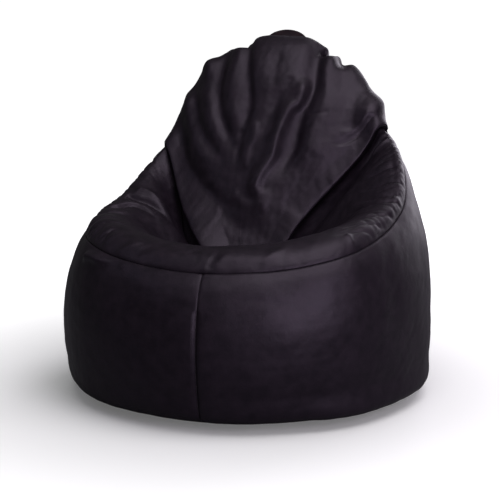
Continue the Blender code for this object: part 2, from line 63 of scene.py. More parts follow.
BASE_RADIUS, RIM_HEIGHT, HALF_WIDTH = 375, 14, 440
STATIONS = {
    0: [(0, -BASE_RADIUS, RIM_HEIGHT), (0, -437, 80), (0, -460, 172), (0, -446, 275), (0, -398, 357),
        (0, -325, 397), (0, -255, 374), (0, -205, 334), (0, -165, 303), (0, -125, 286)],
    45: [(264, -264, RIM_HEIGHT), (306, -304, 82), (322, -320, 182), (318, -312, 292), (296, -282, 386),
         (248, -232, 424), (190, -182, 399), (148, -150, 354), (112, -122, 312), (78, -98, 288)],
    85: [(BASE_RADIUS, -10, RIM_HEIGHT), (428, -10, 82), (HALF_WIDTH, -10, 188), (426, -10, 325),
         (380, -12, 452), (347, -16, 478), (290, -22, 454), (226, -28, 396), (162, -34, 336),
         (102, -40, 295)],
    112: [(339, 158, RIM_HEIGHT), (386, 180, 90), (402, 188, 215), (392, 184, 380), (350, 150, 530),
          (322, 132, 550), (266, 100, 502), (206, 66, 432), (146, 30, 358), (90, -6, 302)],
    135: [(258, 274, RIM_HEIGHT), (294, 314, 100), (308, 332, 255), (312, 326, 440), (300, 284, 578),
          (276, 238, 606), (228, 184, 524), (172, 122, 432), (120, 66, 360), (74, 18, 306)],
    158: [(143, 350, RIM_HEIGHT), (162, 396, 112), (174, 424, 295), (188, 426, 530), (192, 376, 728),
          (181, 328, 756), (150, 252, 668), (114, 178, 540), (76, 106, 412), (42, 40, 308)],
    180: [(0, BASE_RADIUS, RIM_HEIGHT), (0, 430, 115), (0, 458.5, 305), (0, 452, 555), (0, 412, 784),
          (0, 358, 828), (0, 282, 750), (0, 204, 608), (0, 124, 452), (0, 46, 310)],
}
POLE = np.array((0, -0.050, 0.278))
SEAM_RING, PAN_RING, SHOULDER = 4.0, 9.0, 135.0
SLUMP, SLUMP_ANGLE, SLUMP_REACH = 0.070, 250.0, 68.0
FOOT_CREEP = 14.0
ZIP_RADIUS, ZIP_CENTRE = 0.900, np.array((0, -0.440, 0.360))
ZIP_BLEND, ZIP_SWELL = 0.100, 0.0007
MM = 0.001


def smooth_through(knots, points, at):
    """A smooth curve through points set at rising knots, read at several places."""
    slopes = np.gradient(points, knots, axis=0)
    i = np.clip(np.searchsorted(knots, at, side="right") - 1, 0, len(knots) - 2)
    step = (knots[i + 1] - knots[i]).reshape(-1, *[1] * (points.ndim - 1))
    t = (at - knots[i]).reshape(step.shape) / step
    return (
        (2 * t**3 - 3 * t**2 + 1) * points[i] + (t**3 - 2 * t**2 + t) * step * slopes[i]
        + (3 * t**2 - 2 * t**3) * points[i + 1] + (t**3 - t**2) * step * slopes[i + 1]
    )


def all_round():
    """The stations round the whole bag, the left side mirrored from the right, with some to spare."""
    sides = [(a, 1) for a in STATIONS] + [(-a, -1) for a in STATIONS if 0 < a < 180]
    turns = sorted((a + turn, abs(a), side) for a, side in sides for turn in (-360, 0, 360))
    rings = [np.array(STATIONS[a], float) * MM * (side, 1, 1) for _, a, side in turns]
    return np.array([turn[0] for turn in turns], float), np.array(rings)


STATION_ANGLES, STATION_RINGS = all_round()


def skin(angles, ring):
    """The bag's plain skin at one ring, 0 at the rim to 10 in the pan, and angles from the front."""
    low = min(1.0, max(0.0, (ring - 5.3) / 3.7))
    angles = np.asarray(angles, float) + FOOT_CREEP * low**2 * (3 - 2 * low)
    profiles = smooth_through(STATION_ANGLES, STATION_RINGS, angles)
    poles = np.broadcast_to(POLE, (len(angles), 1, 3))
    rings = np.concatenate([profiles, poles], axis=1).swapaxes(0, 1)
    points = smooth_through(np.arange(11.0), rings, np.array([ring]))[0]
    turn = np.minimum(1.0, abs(angles % 360 - SLUMP_ANGLE) / SLUMP_REACH)
    points[:, 2] -= SLUMP * (1 - turn**2) ** 2 * math.sin(math.pi * min(1.0, ring / PAN_RING)) ** 2
    if ring <= 3.5:
        x, y, z = points.T
        near = (y > 0) & (abs(x) < ZIP_BLEND)
        ease = min(1.0, ring / 0.5, max(0.0, (3.5 - ring) / 0.4))
        arc = ZIP_CENTRE[1] + np.sqrt(ZIP_RADIUS**2 - (z - ZIP_CENTRE[2]) ** 2) + ZIP_SWELL
        points[:, 1] += near * (1 - np.minimum(1, abs(x) / ZIP_BLEND) ** 2) ** 2 * ease * (arc - y)
    return points


# ---------------------------------------------------------------- the form with its seams and folds
# Sewn and filled, the skin draws in along every seam, gathers where a long edge is eased to a short
# one, and hangs in deep soft folds down the back. The net is close near seams, where the cover turns.

def close_set(marks, coarse, fine, grow):
    """Rising values between marks, close together at each mark and wider apart between them."""
    values = []
    for low, high, widest in zip(marks, marks[1:], coarse):
        t = np.linspace(low, high, 4001)
        spacing = np.minimum(widest, fine + grow * np.minimum(t - low, high - t))
        count = np.concatenate([[0], np.cumsum((1 / spacing[1:] + 1 / spacing[:-1]) / 2 * np.diff(t))])
        steps = max(2, round(count[-1]))
        values += list(np.interp(np.linspace(0, count[-1], steps + 1), count, t))[:-1]
    return values


half_angles = close_set([0, 42, SHOULDER, 180], (1.05, 0.64, 0.46), 0.17, 0.30)
ANGLES = np.array(half_angles + [180.0] + [360 - a for a in half_angles[:0:-1]])
ROWS = np.array(
    close_set([0, SEAM_RING], (0.052,), 0.012, 0.16)
    + close_set([SEAM_RING, PAN_RING], (0.034,), 0.010, 0.16)
    + close_set([PAN_RING, 9.93], (0.07,), 0.02, 0.2) + [9.93]
)
def outward(points):
    """The direction out of each point of a net."""
    out = np.cross(np.roll(points, -1, 0) - np.roll(points, 1, 0), np.gradient(points, axis=1))
    return out / np.maximum(np.linalg.norm(out, axis=2, keepdims=True), 1e-12)


class Net:
    """The skin as a net of points, in columns round the bag and rows up it, over it and into the pan."""

    def __init__(self, angles, rows):
        self.angles, self.rows, self.count = np.array(angles), np.array(rows), len(angles)
        self.plain = np.stack([skin(self.angles, ring) for ring in rows], axis=1)
        self.plain_out = outward(self.plain)
        self.rear = self.column(180)

    def column(self, angle):
        return int(np.argmin(abs(self.angles - angle)))

    def row(self, ring):
        return int(np.argmin(abs(self.rows - ring)))

    def shape(self, lift, shift=0.0):
        """Moves the skin out by lift and along by shift; its lowest row stays on the base seam."""
        self.form = self.plain + self.plain_out * lift[..., None] + shift
        self.form[..., 2] = np.maximum(self.form[..., 2], 1.5 * MM)
        self.out = outward(self.form)
        self.pole = POLE + (0, 0, float(lift[:, -1].mean()))

    def before(self, key):
        """A point of the plain skin and the direction out of it."""
        return (POLE, np.array((0, 0, 1.0))) if key == "pole" else (self.plain[key], self.plain_out[key])

    def after(self, key):
        """A point of the finished form and the direction out of it."""
        return (self.pole, np.array((0, 0, 1.0))) if key == "pole" else (self.form[key], self.out[key])


cover = Net(ANGLES, ROWS)
plain, plain_out = cover.plain, cover.plain_out
FRONT, RIGHT, REAR = 0, cover.column(SHOULDER), cover.rear
LEFT = cover.count - RIGHT
SEAM, PAN, LAST = (cover.row(ring) for ring in (SEAM_RING, PAN_RING, 9.93))
signed = np.where(ANGLES > 180, ANGLES - 360, ANGLES)[:, None] + 0 * ROWS
ring_of = ROWS[None] + 0 * signed
lift = np.zeros(plain.shape[:2])
shift = np.zeros(plain.shape)


def reach(points):
    """How far each point of the net is from another point, for each."""
    return np.linalg.norm(plain - points, axis=2)


def eased(value, low, high):
    t = np.clip((value - low) / (high - low), 0, 1)
    return t * t * (3 - 2 * t)


def roll(distance, width):
    """The round shoulder of a stuffed seam: 1 in the seam, 0 from width on."""
    u = 1 - np.minimum(1, distance / width)
    return 1 - np.sqrt(1 - u**2)


from_seat_seam = reach(plain[:, SEAM][:, None])
from_front = reach(plain[FRONT][None])
from_rear = reach(plain[REAR][None])
from_pan = reach(plain[:, PAN][:, None])
from_left, from_right = reach(plain[LEFT][None]), reach(plain[RIGHT][None])
wall, above = ring_of <= SEAM_RING, ring_of >= SEAM_RING
tongue = above & (abs(signed) >= SHOULDER) & (ring_of <= PAN_RING)
inner = above & (abs(signed) <= SHOULDER) & (ring_of <= PAN_RING)
from_side = np.where(signed > 0, from_right, from_left)

# The wall slumps out over the edge of the base, and low down it spills sideways, most at the front right.
SLUMP_OUT, SPILL, SPILL_SIDES, SPILL_FRONT_RIGHT = 10 * MM, 18, 8, 15
slumped = np.clip(ring_of / 2.1, 0, 1)
beside_rear = eased(from_rear, 0.05, 0.16)
lift += SLUMP_OUT * 6.75 * slumped * (1 - slumped) ** 2 * beside_rear
sideways = plain_out * (1, 1, 0)
sideways /= np.maximum(np.linalg.norm(sideways, axis=2, keepdims=True), 1e-9)
spilt = eased(ring_of, 0.0, 0.28) * (1 - eased(ring_of, 0.30, 1.2)) * beside_rear
spilt = spilt * (
    SPILL + SPILL_SIDES * np.sin(np.radians(signed)) ** 2
    + SPILL_FRONT_RIGHT * np.exp(-(((signed - 55) / 35) ** 2))
)
shift += sideways * (MM * spilt)[..., None]
# The seat seam and the crown seam lie in a groove, and the seat swells just inside it.
lift -= 4.5 * MM * roll(from_seat_seam, np.where(wall, 8 * MM, 13 * MM))
lift -= 4.0 * MM * np.exp(-(from_seat_seam / 24 * 1000) ** 2)
lift += 3 * MM * np.exp(-(((ring_of - 4.5) / 0.40) ** 2)) * (abs(signed) < SHOULDER)
# The left arm has sunk, and the right one is a little fuller.
lift -= 20 * MM * np.exp(-(((signed + 108) / 26) ** 2) - ((ring_of - 4.2) / 1.1) ** 2)
lift += 7 * MM * np.exp(-(((signed - 105) / 28) ** 2) - ((ring_of - 3.6) / 1.2) ** 2)
# The front seam, and the rear seam above the zip.
lift -= wall * 2.8 * MM * roll(from_front, 7 * MM) + wall * 1.2 * MM * np.exp(-(from_front / 18 * 1000) ** 2)
lift -= (wall & (ring_of > 3.05)) * 3.0 * MM * roll(from_rear, 7 * MM) * eased(ring_of, 3.05, 3.3)

# The back panel's edges: a plump roll that leans over a deep crease in the seat panel.
crease = np.interp(ring_of, (4.0, 4.4, 5.2, 6.5, 8.0, 8.7, 9.0), (5, 12, 18, 24, 27, 22, 12)) * MM
crease = crease * np.where(signed < 0, np.interp(ring_of, (5, 7), (0.9, 1.7)), 1.0)
leaning = tongue * np.sin(np.pi * np.minimum(1, from_side / (1.6 * crease)))
lift -= tongue * crease * roll(from_side, 1.1 * crease)
lift -= inner * crease * np.exp(-(from_side / (0.9 * crease + 14 * MM)) ** 1.3)
lift += tongue * 12 * MM * (1 - np.exp(-(from_side / 0.055) ** 2)) * eased(ring_of, 4.9, 6.4)
edge = np.where((signed > 0)[..., None], plain[RIGHT][None], plain[LEFT][None]) - plain
edge /= np.maximum(np.linalg.norm(edge, axis=2, keepdims=True), 1e-9)
shift += edge * (0.85 * crease * leaning)[..., None]
# The foot of the back panel, down in the pan.
lift -= (abs(signed) >= SHOULDER) * above * 7 * MM * roll(from_pan, 14 * MM)


def fold(height, left, right, path, start=0.12, end=0.25, sharp=2.0):
    """A ridge, or a valley where height is negative, along a path of (angle, ring). All in mm. Left and
    right are its widths on each side as one looks along it. It fades in over start and out over end."""
    path = np.array(path, float)
    knots = np.arange(len(path), dtype=float)
    line = smooth_through(knots, path, np.linspace(0, knots[-1], 8 * len(path)))
    places = np.array([skin([angle], min(9.9, max(0.05, ring)))[0] for angle, ring in line])
    widest = 3.2 * max(left, right) * MM
    low, high = places.min(0) - widest, places.max(0) + widest
    inside = np.all((plain > low) & (plain < high), axis=2)
    i, j = np.nonzero(inside)
    points, out = plain[i, j], plain_out[i, j]
    best, along, side = np.full(len(points), 1e9), np.zeros(len(points)), np.zeros(len(points))
    lengths = np.linalg.norm(np.diff(places, axis=0), axis=1)
    run = np.concatenate([[0], np.cumsum(lengths)])
    for k, (a, b) in enumerate(zip(places, places[1:])):
        way = (b - a) / lengths[k]
        t = np.clip((points - a) @ way, 0, lengths[k])
        away = points - a - t[:, None] * way
        gap = np.linalg.norm(away, axis=1)
        near = gap < best
        best[near], along[near] = gap[near], (run[k] + t[near]) / run[-1]
        side[near] = np.einsum("ij,ij->i", np.cross(out[near], way), away[near])
    width = np.where(side > 0, left, right) * MM
    taper = eased(along, -0.001, start) * eased(1.001 - along, 0, end)
    lift[i, j] += height * MM * taper * np.exp(-((best / width) ** sharp))


# The back panel's folds, from the crown down: height, left and right widths, path. Worn leather holds
# them lower and broader than they were creased.
SOFTER, BROADER = 0.72, 1.15
FOLDS = [
    (-12, 10, 15, [(-171, 4.1), (-171, 5.4), (-173, 6.05), (-176, 6.55), (-176, 6.85), (-175, 7.15)]),
    (7, 15, 15, [(-167, 4.6), (-168, 5.4), (-167, 5.8), (-168, 6.3), (-172, 6.75), (-177, 7.05)]),
    (-10, 10, 16, [(-165, 4.6), (-164, 5.15), (-162, 5.75), (-163, 6.25), (-166, 6.6), (-171, 7.0),
                   (-177, 7.3)]),
    (7, 16, 17, [(-160, 4.5), (-160, 4.9), (-158, 5.3), (-157, 5.75), (-162, 6.55), (-167, 7.0)]),
    (-9, 12, 19, [(-152, 4.6), (-151, 5.6), (-155, 6.35), (-162, 6.9), (-168, 7.3)]),
    (6, 18, 18, [(-149, 4.7), (-149, 5.1), (-148, 5.7), (-154, 6.6), (-164, 7.3)]),
    (-11, 17, 21, [(-143, 4.6), (-143, 5.15), (-142, 5.75), (-144, 6.3), (-154, 7.2), (-167, 7.9),
                   (173, 8.3)]),
    (7, 22, 20, [(-140, 4.8), (-136, 5.45), (-138, 6.2), (-145, 7.05), (-161, 8.05)]),
    (-20, 13, 24, [(167, 4.2), (167, 5.3), (163, 6.15), (162, 6.65), (159, 7.15), (160, 7.5), (163, 7.8)]),
    (19, 12, 18, [(167, 5.9), (165, 6.4), (167, 6.7), (167, 7.15), (166, 7.45), (170, 7.8), (171, 7.95),
                  (165, 8.05), (156, 7.85)]),
    (9, 26, 14, [(163, 4.8), (163, 5.55), (158, 6.0), (156, 6.55), (153, 7.05), (151, 7.5)]),
    (-4, 13, 15, [(178, 5.6), (178, 6.0), (174, 6.5), (172, 6.95), (172, 7.35)]),
    (-3, 9, 9, [(171, 6.1), (172, 6.55), (172, 6.85)]),
    (6, 9, 11, [(179, 6.9), (178, 7.15), (-180, 7.3), (-180, 7.65)]),
    (-4, 9, 9, [(-175, 6.9), (-175, 7.2), (-175, 7.45)]),
    (5, 12, 14, [(-173, 7.8), (174, 8.2), (156, 8.15)]),
    (-5, 16, 16, [(-160, 7.9), (178, 8.5), (157, 8.45)]),
    (-4, 16, 18, [(149, 6.8), (148, 7.55), (148, 8.1)]),
    (-4, 12, 14, [(137, 6.6), (138, 7.35), (141, 7.95)]),
    (-6, 5, 9, [(139, 5.0), (140, 5.5), (143, 6.1), (147, 6.5)]),
    (5, 9, 6, [(141.5, 5.1), (143, 5.7), (147, 6.2)]),
    (-2.0, 4, 4, [(161, 6.5), (157, 6.35), (154, 6.12)]),
]
for height, left, right, path in FOLDS:
    path = [(a % 360 if a < 0 else a, r) for a, r in path]
    fold(SOFTER * height, BROADER * left, BROADER * right, path)

# The crown's lobes, which stand up between its clefts.
CROWN_FOLDS = [
    (-7, 44, 40, [(179, 3.9), (179, 4.4), (179, 5.0), (179, 5.6)]),
    (13, 20, 28, [(-159, 3.7), (-159, 4.3), (-158, 4.9), (-157, 5.4)]),
    (6, 18, 20, [(-149, 3.9), (-149, 4.5), (-148, 5.1), (-147, 5.5)]),
    (-26, 15, 16, [(-168, 3.8), (-168, 4.4), (-169, 4.9), (-171, 5.3)]),
    (-38, 20, 9, [(165, 3.8), (165, 4.4), (165.5, 4.9), (167, 5.4)]),
    (-22, 20, 14, [(160, 3.9), (160, 4.4), (160, 5.0), (159, 5.4)]),
    (20, 46, 34, [(143, 3.9), (143, 4.5), (142, 5.1), (141, 5.7)]),
]
for height, left, right, path in CROWN_FOLDS:
    fold(height, left, right, [(a % 360, r) for a, r in path], start=0.35, end=0.4)

# The arms' and the lip's own folds.
ARM_FOLDS = [
    (-12, 9, 14, [(-100, 5.0), (-102, 5.7), (-107, 6.25), (-112, 6.8), (-114, 7.3)]),
    (6, 10, 10, [(-106, 5.3), (-111, 6.0), (-117, 6.7)]),
    (-10, 7, 12, [(-86, 4.5), (-88, 5.35), (-98, 5.95), (-103, 6.9)]),
    (-8, 7, 10, [(-72, 4.2), (-74, 5.0), (-80, 5.7), (-86, 6.4)]),
    (-7, 6, 9, [(-58, 4.2), (-58, 4.9), (-59, 5.5), (-50, 5.9)]),
    (-5.5, 6, 8, [(-53, 4.2), (-48, 5.0), (-39, 5.55)]),
    (-3, 5, 6, [(-43, 4.1), (-40, 4.7), (-36, 4.9)]),
    (3, 5, 5, [(-39, 4.1), (-35, 4.85)]),
    (3, 5, 6, [(-31, 4.05), (-28, 4.4), (-24, 4.8)]),
    (14, 12, 9, [(-46, 3.62), (-40, 3.72), (-35, 3.74), (-29, 3.88)]),
    (3, 5, 5, [(-27, 3.72), (-25, 3.95)]),
    (-1.8, 7, 9, [(1, 4.05), (3, 4.45), (5, 4.85)]),
    (1.6, 7, 8, [(4, 4.05), (6, 4.45), (9, 4.85)]),
    (-2.4, 8, 9, [(-24, 4.10), (-22, 4.45), (-17, 4.80)]),
    (2.2, 9, 8, [(17, 4.1), (22, 4.5), (29, 4.8)]),
    (-2, 6, 6, [(-7, 4.5), (-2, 4.9)]),
    (3, 7, 7, [(49, 4.7), (49, 4.02)]),
    (-8, 9, 7, [(128, 4.5), (130, 5.3), (130, 5.7), (129, 6.2)]),
    (7, 7, 7, [(124, 4.5), (126, 5.2), (127, 5.8)]),
    (-5, 7, 8, [(103, 4.3), (106, 5.6), (111, 6.3)]),
    (-4, 6, 8, [(93, 4.15), (97, 5.7), (102, 6.4)]),
    (-4, 6, 8, [(87, 4.1), (87, 5.6), (94, 6.6)]),
    (-3.5, 6, 7, [(81, 4.05), (81, 5.85), (90, 6.9)]),
    (-3.5, 6, 7, [(75, 4.05), (66, 5.0), (56, 5.5)]),
    (-3, 5, 7, [(67, 4.02), (60, 4.7), (46, 5.1)]),
    (-2.5, 5, 6, [(59, 4.02), (56, 4.45), (42, 4.8)]),
    (-1.6, 9, 9, [(14, 3.3), (21, 3.2), (28, 3.05)]),
    (-1.4, 10, 10, [(36, 3.4), (46, 3.3), (58, 3.25)]),
]
for height, left, right, path in ARM_FOLDS:
    fold(height, left, right, [(a % 360 if a < -8 else a, r) for a, r in path], start=0.2, end=0.5, sharp=1.7)

# Fine gathers where the seat panel and the back panel are eased into the seams round them.
rng = random.Random(11)
for first, last, step, deep, long in (
    (58, 132, 3.0, 1.9, 2.5), (-132, -50, 2.6, 2.6, 1.9), (-84, -42, 3.0, 4.2, 1.0),
    (-54, -14, 3.4, 1.3, 0.7), (12, 56, 4.2, 1.0, 0.7),
):
    angle = first
    while angle < last:
        angle += step * rng.uniform(0.6, 1.5)
        lean, span = rng.uniform(-3, 6) * (-1 if first < 0 else 1), long * rng.uniform(0.45, 1.0)
        path = [(angle, 4.02), (angle + 0.3 * lean, 4.0 + span / 2), (angle + lean, 4.0 + span)]
        size = rng.uniform(2.6, 4.6)
        fold(-deep * rng.uniform(0.5, 1.3), size, size * 1.3, path, start=0.25, end=0.75, sharp=1.6)
for first, last, step, deep in ((137, 172, 4.5, 1.6), (190, 223, 3.4, 2.8)):
    angle = first
    while angle < last - 2:
        angle += step * rng.uniform(0.6, 1.5)
        size, way = rng.uniform(3.5, 6.5), rng.choice((-1, -1, 1))
        top, drop = rng.uniform(3.4, 3.7), rng.uniform(4.5, 5.0)
        tall = way * deep * rng.uniform(0.5, 1.2)
        path = [(angle, top), (angle, 4.1), (angle + rng.uniform(-1.5, 1.5), drop)]
        fold(tall, size, size * 1.2, path, start=0.3, end=0.6, sharp=1.7)


def swell(points, sizes, seed):
    """A soft, even unevenness: waves of several lengths, each in its own direction, from -1 to 1."""
    draw = np.random.RandomState(seed)
    total = np.zeros(points.shape[:-1])
    for size in sizes:
        way = draw.normal(size=3)
        bend = draw.normal(size=3)
        way, bend = way / np.linalg.norm(way), bend / np.linalg.norm(bend)
        wobble = 0.9 * np.sin(points @ bend * 4.1 / size + draw.uniform(0, 6))
        total += np.sin(points @ way * 2 * np.pi / size + wobble + draw.uniform(0, 6))
    return total / len(sizes)


# Everywhere the leather lies a little unevenly over the beads, except along the zip.
lift += 3.2 * MM * swell(plain, (0.31, 0.26, 0.22, 0.19, 0.17), 3)
lift += 1.5 * MM * swell(plain, (0.11, 0.095, 0.083, 0.075, 0.066, 0.058), 5) * (1 - 0.3 * wall)
lift += 0.70 * MM * swell(plain, (0.034, 0.030, 0.026, 0.023, 0.020), 8) * (1 - 0.4 * wall)
behind = (plain[..., 1] > 0) & (ring_of < 3.6)
beside_zip = np.where(behind, eased(abs(plain[..., 0]), 0.017, 0.050), 1.0)
beside_zip = np.maximum(beside_zip, eased(ring_of, 3.1, 3.5))
lift *= beside_zip

lift[:, 0] = 0
cover.shape(lift, shift)

# ---------------------------------------------------------------- the cover's four panels
# Two side panels, a seat panel and a back panel of leatherette 1.2 mm thick, sewn right sides
# together, so that each edge turns in at the seam. The side panels stand apart only at the zip.

LEATHER = 1.2 * MM
EDGE_GAP = 0.15 * MM
ZIP_HALF_SLOT, ZIP_FIRST, ZIP_LAST = 7.0 * MM, 0.60, 3.05


def thinned(line, keep=2):
    return line[:-1:keep] + line[-1:]


def net_faces(net, blocks):
    """The faces of blocks of a net, each a list of columns, a list of rows, and whether it has the pole."""
    faces = []
    for columns, rows, with_pole in blocks:
        for a, b in zip(columns, columns[1:]):
            a, b = a % net.count, b % net.count
            faces += [[(a, low), (b, low), (b, high), (a, high)] for low, high in zip(rows, rows[1:])]
            if with_pole:
                faces.append([(a, rows[-1]), (b, rows[-1]), "pole"])
    return faces


def outline_of(faces):
    """The directed edges that only one face uses."""
    edges = [(face[i - 1], face[i]) for face in faces for i in range(len(face))]
    used = set(edges)
    return [edge for edge in edges if edge[::-1] not in used]


def fine_edge(net, a, b):
    """The net's points from one corner of a wide face to the next."""
    if "pole" in (a, b):
        return [a, b]
    (ca, ra), (cb, rb) = a, b
    if ra == rb:
        way = 1 if (cb - ca) % net.count < net.count / 2 else -1
        return [((ca + way * k) % net.count, ra) for k in range((cb - ca) * way % net.count + 1)]
    way = 1 if rb > ra else -1
    return [(ca, row) for row in range(ra, rb + way, way)]


def edge_trim(net, key):
    """How far a panel stops short of its seam: a hair, or half the slot where the zip shows."""
    ring = 10.0 if key == "pole" else net.rows[key[1]]
    opening = eased(ring, 0.50, ZIP_FIRST) * eased(ring, ZIP_LAST + 0.05, ZIP_LAST - 0.05)
    return EDGE_GAP + (key[0] == net.rear) * float(opening) * (ZIP_HALF_SLOT - EDGE_GAP)


def make_mesh(name, points, faces, finish):
    """A smooth closed piece from points and faces."""
    mesh = bpy.data.meshes.new(name)
    mesh.from_pydata([tuple(map(float, p)) for p in points], [], faces)
    mesh.materials.append(finish)
    mesh.update()
    mesh.shade_smooth()
    made = bpy.data.objects.new(name, mesh)
    bpy.context.scene.collection.objects.link(made)
    return made


def face_outward(made):
    """Turns every face of a closed piece outward."""
    shape = bmesh.new()
    shape.from_mesh(made.data)
    bmesh.ops.recalc_face_normals(shape, faces=shape.faces)
    shape.to_mesh(made.data)
    shape.free()


def cut_panel(name, net, blocks, finish, thickness):
    """A closed panel cut from a net: a fine outer face, and a plainer inner face that isn't seen."""
    every = [(list(range(c[0], c[-1] + 1)), list(range(r[0], r[-1] + 1)), p) for c, r, p in blocks]
    fine, wide = net_faces(net, every), net_faces(net, blocks)
    inward = {}
    for a, b in outline_of(fine):
        (place_a, out_a), (place_b, out_b) = net.before(a), net.before(b)
        side = np.cross(out_a + out_b, place_b - place_a)
        side /= np.linalg.norm(side)
        for key in (a, b):
            inward.setdefault(key, []).append(side)
    drawn_in = {}
    for key, sides in inward.items():
        total = np.sum(sides, axis=0)
        total /= np.linalg.norm(total)
        drawn_in[key] = total * edge_trim(net, key) / max(0.5, float(total @ sides[0]))
    skins = {key: net.after(key)[0] + drawn_in.get(key, 0) for face in fine for key in face}
    # Beside the zip's slot the leather's edge is moved over, and what is next to it moves with it.
    for key in skins:
        beside = None if key == "pole" or key in drawn_in else drawn_in.get((net.rear, key[1]))
        if beside is not None:
            skins[key] = skins[key] + beside * max(0.0, 1 - abs(net.plain[key][0]) / (30 * MM))
    outer_keys = list(skins)
    inner_keys = sorted({key for face in wide for key in face}, key=str)
    index = {key: i for i, key in enumerate(outer_keys)}
    under = {key: len(outer_keys) + i for i, key in enumerate(inner_keys)}
    points = [skins[key] for key in outer_keys]
    points += [skins[key] - net.after(key)[1] * thickness for key in inner_keys]
    faces = [[index[key] for key in face] for face in fine]
    faces += [[under[key] for key in reversed(face)] for face in wide]
    for a, b in outline_of(wide):
        faces.append([under[a], under[b]] + [index[key] for key in reversed(fine_edge(net, a, b))])
    return make_mesh(name, points, faces, finish)


def new_finish(name, colour, roughness, metallic=0.0):
    """A material with its shader and the piece's own coordinates, ready for its nodes."""
    finish = bpy.data.materials.new(name)
    finish.use_nodes = True
    shader = finish.node_tree.nodes["Principled BSDF"]
    shader.inputs["Base Color"].default_value = (*colour, 1)
    shader.inputs["Roughness"].default_value = roughness
    shader.inputs["Metallic"].default_value = metallic
    coordinates = finish.node_tree.nodes.new("ShaderNodeTexCoord")
    return finish, shader, coordinates.outputs["Object"]


def new_group(name, numbers, outputs):
    """A node group that takes the piece's coordinates and some numbers, and its two end nodes."""
    group = bpy.data.node_groups.new(name, "ShaderNodeTree")
    group.interface.new_socket("Coordinates", in_out="INPUT", socket_type="NodeSocketVector")
    for label, value in numbers:
        socket = group.interface.new_socket(label, in_out="INPUT", socket_type="NodeSocketFloat")
        socket.default_value = value
    for label in outputs:
        group.interface.new_socket(label, in_out="OUTPUT", socket_type="NodeSocketFloat")
    return group, group.nodes.new("NodeGroupInput"), group.nodes.new("NodeGroupOutput")


def add_node(tree, kind, links=(), **settings):
    """A node with its settings, and what feeds each of its inputs: a socket or a plain value."""
    node = tree.nodes.new(kind)
    for name, value in settings.items():
        setattr(node, name, value)
    for key, source in dict(links).items():
        if isinstance(source, bpy.types.NodeSocket):
            tree.links.new(source, node.inputs[key])
        else:
            node.inputs[key].default_value = source
    return node


def calc(tree, operation, a, b=0.0):
    return add_node(tree, "ShaderNodeMath", {0: a, 1: b}, operation=operation).outputs[0]


def spread(tree, value, low, high, out_low, out_high):
    links = {"Value": value, "From Min": low, "From Max": high, "To Min": out_low, "To Max": out_high}
    return add_node(tree, "ShaderNodeMapRange", links).outputs["Result"]


def tinted(tree, shader, mask, dark, pale):
    """The base colour, from dark where the mask is 0 to pale where it is 1."""
    tint = add_node(tree, "ShaderNodeMix", {"Factor": mask}, data_type="RGBA")
    tint.inputs["A"].default_value, tint.inputs["B"].default_value = (*dark, 1), (*pale, 1)
    tree.links.new(tint.outputs["Result"], shader.inputs["Base Color"])


def embossed(tree, shader, height, strength, depth):
    """The surface's relief, from a height and how deep it is pressed."""
    relief = add_node(tree, "ShaderNodeBump", {"Height": height, "Strength": strength, "Distance": depth})
    tree.links.new(relief.outputs["Normal"], shader.inputs["Normal"])


# Pressed grain: round pebbles about a millimetre across with fine valleys between them, tight little
# creases here and there, soft hollows a few centimetres long, and a slow change in the polish.
grain, grain_in, grain_out = new_group(
    "leather_grain", (("Pebble Scale", 760.0), ("Crease Scale", 46.0)), ("Height", "Polish", "Tone")
)
pebble = add_node(grain, "ShaderNodeTexVoronoi", {
    "Vector": grain_in.outputs["Coordinates"], "Scale": grain_in.outputs["Pebble Scale"], "Randomness": 0.9,
}, feature="SMOOTH_F1")
fine_scale = calc(grain, "MULTIPLY", grain_in.outputs["Pebble Scale"], 2.3)
fine = add_node(grain, "ShaderNodeTexNoise", {
    "Vector": grain_in.outputs["Coordinates"], "Scale": fine_scale, "Detail": 2.0,
})
creases = add_node(grain, "ShaderNodeTexNoise", {
    "Vector": grain_in.outputs["Coordinates"], "Scale": grain_in.outputs["Crease Scale"], "Detail": 4.0,
    "Roughness": 0.62, "Distortion": 0.8,
}, noise_type="RIDGED_MULTIFRACTAL")
slow = add_node(grain, "ShaderNodeTexNoise", {
    "Vector": grain_in.outputs["Coordinates"], "Scale": 5.0, "Detail": 3.0,
})
mottle = add_node(grain, "ShaderNodeTexNoise", {
    "Vector": grain_in.outputs["Coordinates"], "Scale": 38.0, "Detail": 3.0,
})
rounded = spread(grain, pebble.outputs["Distance"], 0.0, 0.75, 1.0, 0.0)
crease_mark = spread(grain, creases.outputs["Fac"], 0.9, 1.6, 0.0, 1.0)
height = calc(grain, "MULTIPLY", rounded, 0.8)
for operation, layer, share in (
    ("ADD", fine.outputs["Fac"], 0.25), ("SUBTRACT", crease_mark, 0.7), ("ADD", mottle.outputs["Fac"], 6.0),
):
    height = calc(grain, operation, height, calc(grain, "MULTIPLY", layer, share))
polish = calc(grain, "ADD", calc(grain, "MULTIPLY", slow.outputs["Fac"], 0.7),
              calc(grain, "MULTIPLY", mottle.outputs["Fac"], 0.3))
grain.links.new(height, grain_out.inputs["Height"])
grain.links.new(polish, grain_out.inputs["Polish"])
grain.links.new(mottle.outputs["Fac"], grain_out.inputs["Tone"])


GRAIN_DEPTH, LEATHER_TINT = 0.6 * MM, (0.94, 0.80, 1.0, 1)


